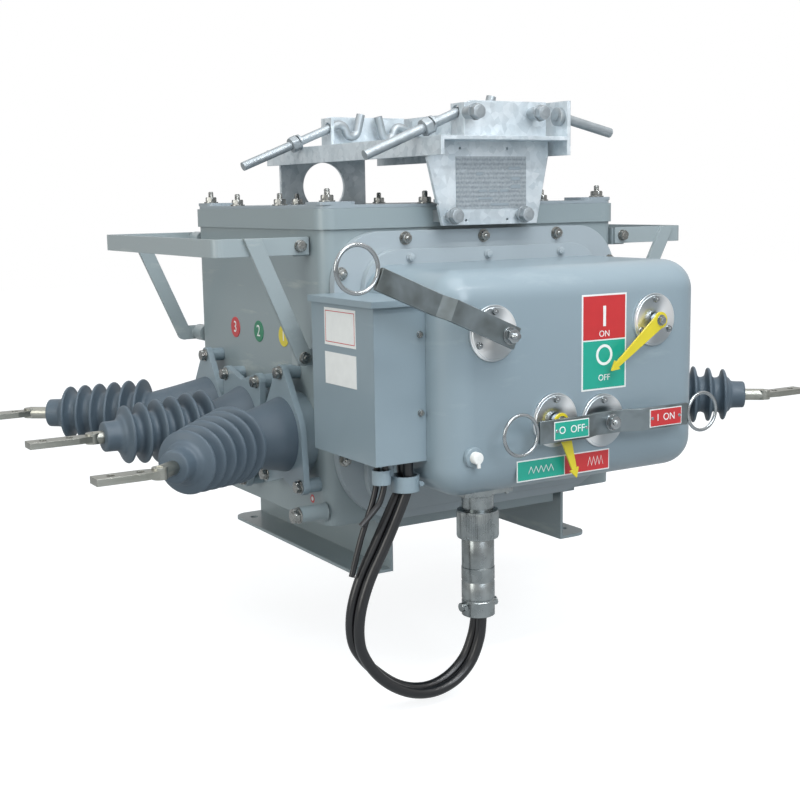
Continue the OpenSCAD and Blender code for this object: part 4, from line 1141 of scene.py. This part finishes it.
# %% Nickel plating
# Nickel-plated brass: a warm grey mirror with a cloudy change of gloss over
# some 20 mm, from fingers and weather.
nickel, tree, shader, spot = new_finish("nickel_plated_brass", 0.26, 1.0)
cloud = add(tree, "ShaderNodeTexNoise", {"Vector": spot, "Scale": 45.0, "Detail": 5.0})
add(tree, "ShaderNodeMix", {"Factor": cloud.outputs["Fac"], 6: colour("#666d6f"), 7: colour("#b6bbbb")},
    feeds=shader.inputs["Base Color"], data_type="RGBA")
add(tree, "ShaderNodeMapRange", {"Value": cloud.outputs["Fac"], "To Min": 0.18, "To Max": 0.38},
    feeds=shader.inputs["Roughness"])
print(nickel.name)

# %% [markdown]
# ## Round connector
# The plug is turned in steps. Each step is its own lathe profile of (height,
# radius), so that the edges between steps stay sharp. The coupling ring has a
# straight knurl, a fine ripple on its radius that needs many points round the
# ring. A flange with four screws holds the plug under the box, and two pins
# stand for its bayonet lock.

# %% Connector
plug_axis = mm(-120, clamp_y, 0)


def turned(profile, around=64, wobble=0.0, lobes=0):
    """A turned part of the plug; the profile is (height, radius) in millimetres."""
    return lathe(pairs(*profile), plug_axis, Z, around, wobble * MM, lobes)


flange_z = 152
plug = [turned([118, 22, 120, 23, 146, 23, 147, 24.5, flange_z, 24.5]),
        turned([41, 22.6, 42, 23.5, 88, 23.5, 89, 22.8]),
        turned([-31, 22.2, -30, 24, -9, 24, -8, 23.2, -6, 23.2, -5, 24,
                19, 24, 20, 23.3, 22, 23.3, 23, 24, 41, 24, 42, 23]),
        turned([86, 27, 86.5, 29.6, 88, 30.1, 121, 30.1, 123, 29.6, 124, 27], 288, 0.35, 72),
        turned([84, 26, 85, 29.5, 87, 29.8]), turned([122, 29.8, 125, 29.5, 126, 26])]
half_wide, half_deep, corner = 42, 32, 6
quarter = np.radians(np.linspace(0, 90, 5))
flange = [(sx * (half_wide - corner + corner * math.cos(a)),
           sy * (half_deep - corner + corner * math.sin(a)))
          for sx, sy in ((1, 1), (-1, 1), (-1, -1), (1, -1))
          for a in (quarter if sx * sy > 0 else quarter[::-1])]
plug.append(extruded(flange, plug_axis + mm(0, 0, flange_z), mm(*X), mm(*Y), mm(0, 0, 6)))
for sx in (-1, 1):
    for sy in (-1, 1):
        plug += bolt(plug_axis + mm(sx * 34, sy * 24, flange_z), (0, 0, -1), 6, 3, 4.4, 0.8)
    plug.append(lathe(pairs(0, 6.5, 8, 6.5, 8.5, 6), plug_axis + mm(sx * 22.5, 0, -16), (sx, 0, 0), 24))
    plug.append(lathe(pairs(0, 3.6, 8, 3.6, 9, 2.8), plug_axis + mm(sx * 26, -8.5, -16), Y, 24))
make_piece("round_connector", plug, nickel, stands_for=("connector",))
mouth = lathe(pairs(0, 18.5, 1.2, 18.5), plug_axis + mm(0, 0, -31.4), Z, 48)
make_piece("connector_mouth", [mouth], black_pvc)
dress(cover_enamel, "cable_clamps")

# %% [markdown]
# ## Lock knob
# A small white knob with a flat grip stands in a painted collar, near the
# drive box's lower left corner. The knob is moulded plastic and the collar is
# steel, so they are two pieces, and the collar stands for the CAD node.

# %% Lock knob
# Moulded white ABS: clean and half glossy, with a scuff pattern of about 6 mm.
knob_white, tree, shader, spot = new_finish("moulded_white_abs", 0.42)
scuff = add(tree, "ShaderNodeTexNoise", {"Vector": spot, "Scale": 180.0, "Detail": 4.0})
add(tree, "ShaderNodeMix", {"Factor": scuff.outputs["Fac"], 6: colour("#dcddd9"), 7: colour("#f4f4f1")},
    feeds=shader.inputs["Base Color"], data_type="RGBA")
knob_place = mm(-177, box_front, 219)
collar = lathe(pairs(-2, 14, 3, 14, 4.5, 12.5, 4.8, 9), knob_place, FRONT, 48)
make_piece("lock_collar", [collar], cover_enamel, stands_for=("lock_knob",))
grip = [lathe(pairs(4, 8.4, 13, 8.2, 14.3, 7.2, 14.6, 5), knob_place, FRONT, 48)]
flat_grip = [(-2, -13), (2, -13), (2, 4), (-2, 4)]
grip.append(extruded(flat_grip, knob_place + mm(0, -12, 0), mm(*X), mm(*Z), mm(0, -3, 0)))
make_piece("lock_knob_grip", grip, knob_white)

# %% [markdown]
# ## Galvanised hanger
# Plates, saddle and hook bolts were dipped in molten zinc. Zinc freezes in
# crystals called spangle, a patchwork in which each crystal reflects a little
# differently. Noise alone has no edges, so Voronoi cells of about 10 mm give
# the patchwork, and a noise of about 70 mm the cloudy oxide over it.

# %% Hot-dip zinc
# Hot-dip zinc: half metal and half oxide, pale, with a gloss that changes from
# crystal to crystal and edges rounded by the run-off.
hot_dip_zinc, tree, shader, spot = new_finish("hot_dip_galvanised_steel", 0.5, 0.55)
spangle = add(tree, "ShaderNodeTexVoronoi", {"Vector": spot, "Scale": 95.0, "Randomness": 1.0})
crystal = add(tree, "ShaderNodeSeparateColor", {"Color": spangle.outputs["Color"]})
smoke = add(tree, "ShaderNodeTexNoise", {"Vector": spot, "Scale": 14.0, "Detail": 6.0, "Roughness": 0.66})
mixed = add(tree, "ShaderNodeMath", {0: crystal.outputs[0], 1: 0.30}, operation="MULTIPLY")
mixed = add(tree, "ShaderNodeMath", {0: mixed.outputs[0], 1: smoke.outputs["Fac"]}, operation="ADD")
grey = add(tree, "ShaderNodeMapRange", {"Value": mixed.outputs[0], "From Min": 0.35, "From Max": 0.95})
add(tree, "ShaderNodeMix", {"Factor": grey.outputs[0], 6: colour("#b6c1c7"), 7: colour("#e2e9ed")},
    feeds=shader.inputs["Base Color"], data_type="RGBA")
add(tree, "ShaderNodeMapRange", {"Value": crystal.outputs[1], "To Min": 0.36, "To Max": 0.58},
    feeds=shader.inputs["Roughness"])
edge = add(tree, "ShaderNodeBevel", {"Radius": 0.0016}, samples=4)
add(tree, "ShaderNodeBump",
    {"Height": smoke.outputs["Fac"], "Strength": 0.22, "Distance": 0.0015, "Normal": edge.outputs[0]},
    feeds=shader.inputs["Normal"])
dress(hot_dip_zinc, "saddle", "saddle_upstand", "hanger_front_plate", "hanger_rear_plate", "upright_front",
      "upright_rear")

# %% [markdown]
# ## Galvanised rod and lid sheet
# The hook bolts were dipped too, but on a thin rod the zinc stays fine and
# shows no crystals, only grit. The lid is painted sheet with a flatter, paler
# coat than the tank's, so it reuses the enamel recipe with other tones.

# %% Rod zinc and lid sheet
# Galvanised rod: a mid grey, a little rough, with grit of about 3 mm, drawn coarse.
rod_zinc, tree, shader, spot = new_finish("hot_dip_galvanised_rod", 0.44, 0.7)
cast = add(tree, "ShaderNodeTexNoise", {"Vector": spot, "Scale": 60.0, "Detail": 5.0, "Roughness": 0.6})
add(tree, "ShaderNodeMix", {"Factor": cast.outputs["Fac"], 6: colour("#838b90"), 7: colour("#b8bec1")},
    feeds=shader.inputs["Base Color"], data_type="RGBA")
grit = add(tree, "ShaderNodeTexNoise", {"Vector": spot, "Scale": 320.0, "Detail": 3.0})
add(tree, "ShaderNodeBump", {"Height": grit.outputs["Fac"], "Strength": 0.2, "Distance": 0.0006},
    feeds=shader.inputs["Normal"])

# Primed and painted sheet: dull, pale and even.
lid_sheet = enamel("pale_zinc_primed_lid", "#88939a", "#95a0a6", "#b6bfc3", 0.46, 0.3)
dress(lid_sheet, "tank_lid")

# %% [markdown]
# ## The path of a hook bolt
# Hook bolts hold the hanger to its crossarm. Each is a threaded rod whose end
# was bent down and up again into a hook. A Bezier curve could be dragged into
# that shape, but its bends would not be round. So the path is a straight line
# and two true arcs in an upright plane, as a bending machine makes them.

# %% Hook bolt path
rod_radius = 7.5


def bend(start, from_angle, to_angle, radius, steps):
    """An arc that leaves start in one direction and ends in another: start + radius * turn."""
    way = 1 if to_angle > from_angle else -1
    centre = np.array(start) + way * radius * np.array([-math.sin(from_angle), math.cos(from_angle)])
    a = np.linspace(from_angle, to_angle, steps + 1)[1:]
    return centre + way * radius * np.column_stack([np.sin(a), -np.cos(a)])


def hook_path(length, droop):
    """A straight rod, a bend down, a bend up and a straight tip, as (along, height)."""
    a, down_way, up_way = np.radians([droop, -78, 75])
    rod = np.linspace(-length, 0, 90)[:, None] * np.array([math.cos(a), math.sin(a)])
    first = bend(rod[-1], a, down_way, 13, 10)
    second = bend(first[-1], down_way, up_way, 12, 14)
    tip = second[-1] + np.linspace(0, 30, 7)[1:, None] * np.array([math.cos(up_way), math.sin(up_way)])
    return np.concatenate([rod, first, second, tip])


print("hook path of", len(hook_path(194, 21.3)), "points")

# %% [markdown]
# ## Hook bolts
# The sweep carries a circle along that path. A nut, a spring washer and a run
# of real thread follow on the same line. The spring washer is a helix: one
# open turn of square wire. A plain ring would do from afar, but it would lack
# the gap that tells the two kinds of washer apart.

# %% Spring washer and hook
def spring_washer(place, axis):
    """One open turn of square wire: height = pitch * t / 2 pi, radius 10.5 mm, with a gap between its ends."""
    axis, one, other = sides(axis)
    t = np.linspace(0.15, 2 * np.pi - 0.1, 40)
    outward = np.cos(t)[:, None] * one + np.sin(t)[:, None] * other
    middle = np.array(place) + 10.5 * MM * outward + (3.2 * MM * t / (2 * np.pi))[:, None] * axis
    corners = np.array([(-1, -1), (1, -1), (1, 1), (-1, 1)]) * 2.1 * MM
    return skin(middle[:, None] + corners[None, :, :1] * outward[:, None] + corners[None, :, 1:] * axis)


def hook(root, y, way, length, droop, nut):
    """The threaded hook with its nut and spring washer; the nut sits that far out from the root (x, z)."""
    flat = np.array(root) + hook_path(length, droop) * [way, 1]
    path = np.column_stack([flat[:, 0], np.full(len(flat), y), flat[:, 1]]) * MM
    path = np.concatenate([path[:1] + (path[:1] - path[1:2]) * 0.001, path])
    a = math.radians(droop)
    out = np.array([-way * math.cos(a), 0, -math.sin(a)])
    seat = mm(root[0], y, root[1]) + nut * MM * out
    parts = [sweep(path, rod_radius * MM), spring_washer(seat - 5 * MM * out, out)]
    parts.append(hexagon(seat, out, 24 * MM, 13 * MM, 0.4))
    end_length = (length - nut - 13.5) * MM
    parts.append(thread(seat + 13 * MM * out, out, (rod_radius + 0.2) * MM, end_length, 2.6 * MM))
    return parts


print("spring washer and hook ready")

# %% [markdown]
# ## Three hooks and a straight rod
# Two hooks point one way and one the other, at the places of the CAD solids.
# The fourth, in front, is modelled as a nearly straight rod with a collar at
# its root. All are one mesh, since they are one kind of steel and never move
# apart.

# %% Hook bolts
hook_y, front_hook_y, rod_y = 130, -245, -290
hooks = hook((-46, 693), hook_y, 1, 194, 21.3, 84)
hooks += hook((-33, 697), front_hook_y, 1, 188, 21.5, 68)
hooks += hook((86, 690), hook_y, -1, 116, 21.3, 54)
rod_x = np.linspace(103, 211, 60)
rod_line = np.column_stack([rod_x, np.full(60, rod_y), np.interp(rod_x, [103, 120, 211], [687, 683, 662])]) * MM
hooks += [sweep(rod_line, rod_radius * MM)]
hooks.append(lathe(pairs(0, 13, 0.8, 14, 7, 14, 8, 13.4), mm(104, rod_y, 685), X, 32))
hooks.append(lathe(pairs(0, 15, 8.2, 15, 9, 14), mm(118, hook_y, 679), X, 32))
make_piece("hook_bolts_zinc", hooks, rod_zinc, stands_for=("hook_bolts",), sharp=40)

# %% [markdown]
# ## Hanger bolts
# Four bolts hold the hanger's front plate. The upper two stand on long sleeves
# and the lower two on short ones, with square blocks between plates and tank.
# Sleeves are plain lathe shapes, and the blocks are extruded squares.

# %% Hanger bolts
hanger_face = -268
low_z, high_z, sleeve_r, block_half = 539, 690, 9.5, 9
shapes = []
for x in (-76, 53):
    shapes.append(lathe(pairs(0, sleeve_r, 9, sleeve_r), mm(x, hanger_face, low_z), FRONT, 32))
    shapes += bolt(mm(x, hanger_face - 9, low_z), FRONT, 20, 10, 13, 2.5, 0, 0.2)
    block = [(x + sx * block_half, low_z + sz * block_half) for sx, sz in ((-1, -1), (1, -1), (1, 1), (-1, 1))]
    for seat, depth in ((-262, 28), (234, 22)):
        shapes.append(extruded(block, mm(0, seat, 0), mm(*X), mm(*Z), mm(0, depth, 0)))
for x in (-45, 74):
    shapes.append(lathe(pairs(0, sleeve_r, 20, sleeve_r), mm(x, hanger_face, high_z), FRONT, 32))
    shapes += bolt(mm(x, hanger_face - 20, high_z), FRONT, 20, 11, 12.5, 2.5, 0, 0.5)
make_piece("hanger_bolts_zinc", shapes, rod_zinc, stands_for=("hanger_bolts",), sharp=35)

# %% [markdown]
# ## Name plate, bare
# The real plate is covered with small etched rows. Here it stays bare: waves
# of about 7 mm and specks of 3 mm give its grey, lined look without a single
# letter, and a few raised blank fields stand where a plate leaves room.

# %% Name plate
# Etched aluminium: matt, half metallic, with darker etched rows.
etched, tree, shader, spot = new_finish("etched_aluminium_plate", 0.5, 0.6)
rows = add(tree, "ShaderNodeTexWave",
           {"Vector": spot, "Scale": 46.0, "Distortion": 0.6, "Detail": 3.0, "Detail Scale": 6.0},
           bands_direction="Z")
faint = add(tree, "ShaderNodeMath", {0: rows.outputs["Fac"], 1: 0.30}, operation="MULTIPLY")
specks = add(tree, "ShaderNodeTexNoise", {"Vector": spot, "Scale": 300.0, "Detail": 4.0})
both = add(tree, "ShaderNodeMath", {0: faint.outputs[0], 1: specks.outputs["Fac"]}, operation="ADD")
add(tree, "ShaderNodeMix", {"Factor": both.outputs[0], 6: colour("#6f777c"), 7: colour("#b2babf")},
    feeds=shader.inputs["Base Color"], data_type="RGBA")
add(tree, "ShaderNodeBump", {"Height": both.outputs[0], "Strength": 0.2, "Distance": 0.0004},
    feeds=shader.inputs["Normal"])
dress(etched, "nameplate")
blank = [(-26, -10, 573, 577), (-7, 9, 573, 577), (14, 30, 573, 577), (-26, 0, 562, 565.5), (34, 52, 590, 596),
         (34, 52, 578, 584), (30, 52, 606, 611), (-30, -18, 598, 603), (-4, 30, 552.5, 556.5)]
plate_face, raised = -269, 0.15
fields = [plate(*field, plate_face, raised) for field in blank]
make_piece("nameplate_blank_fields", fields, lid_sheet)
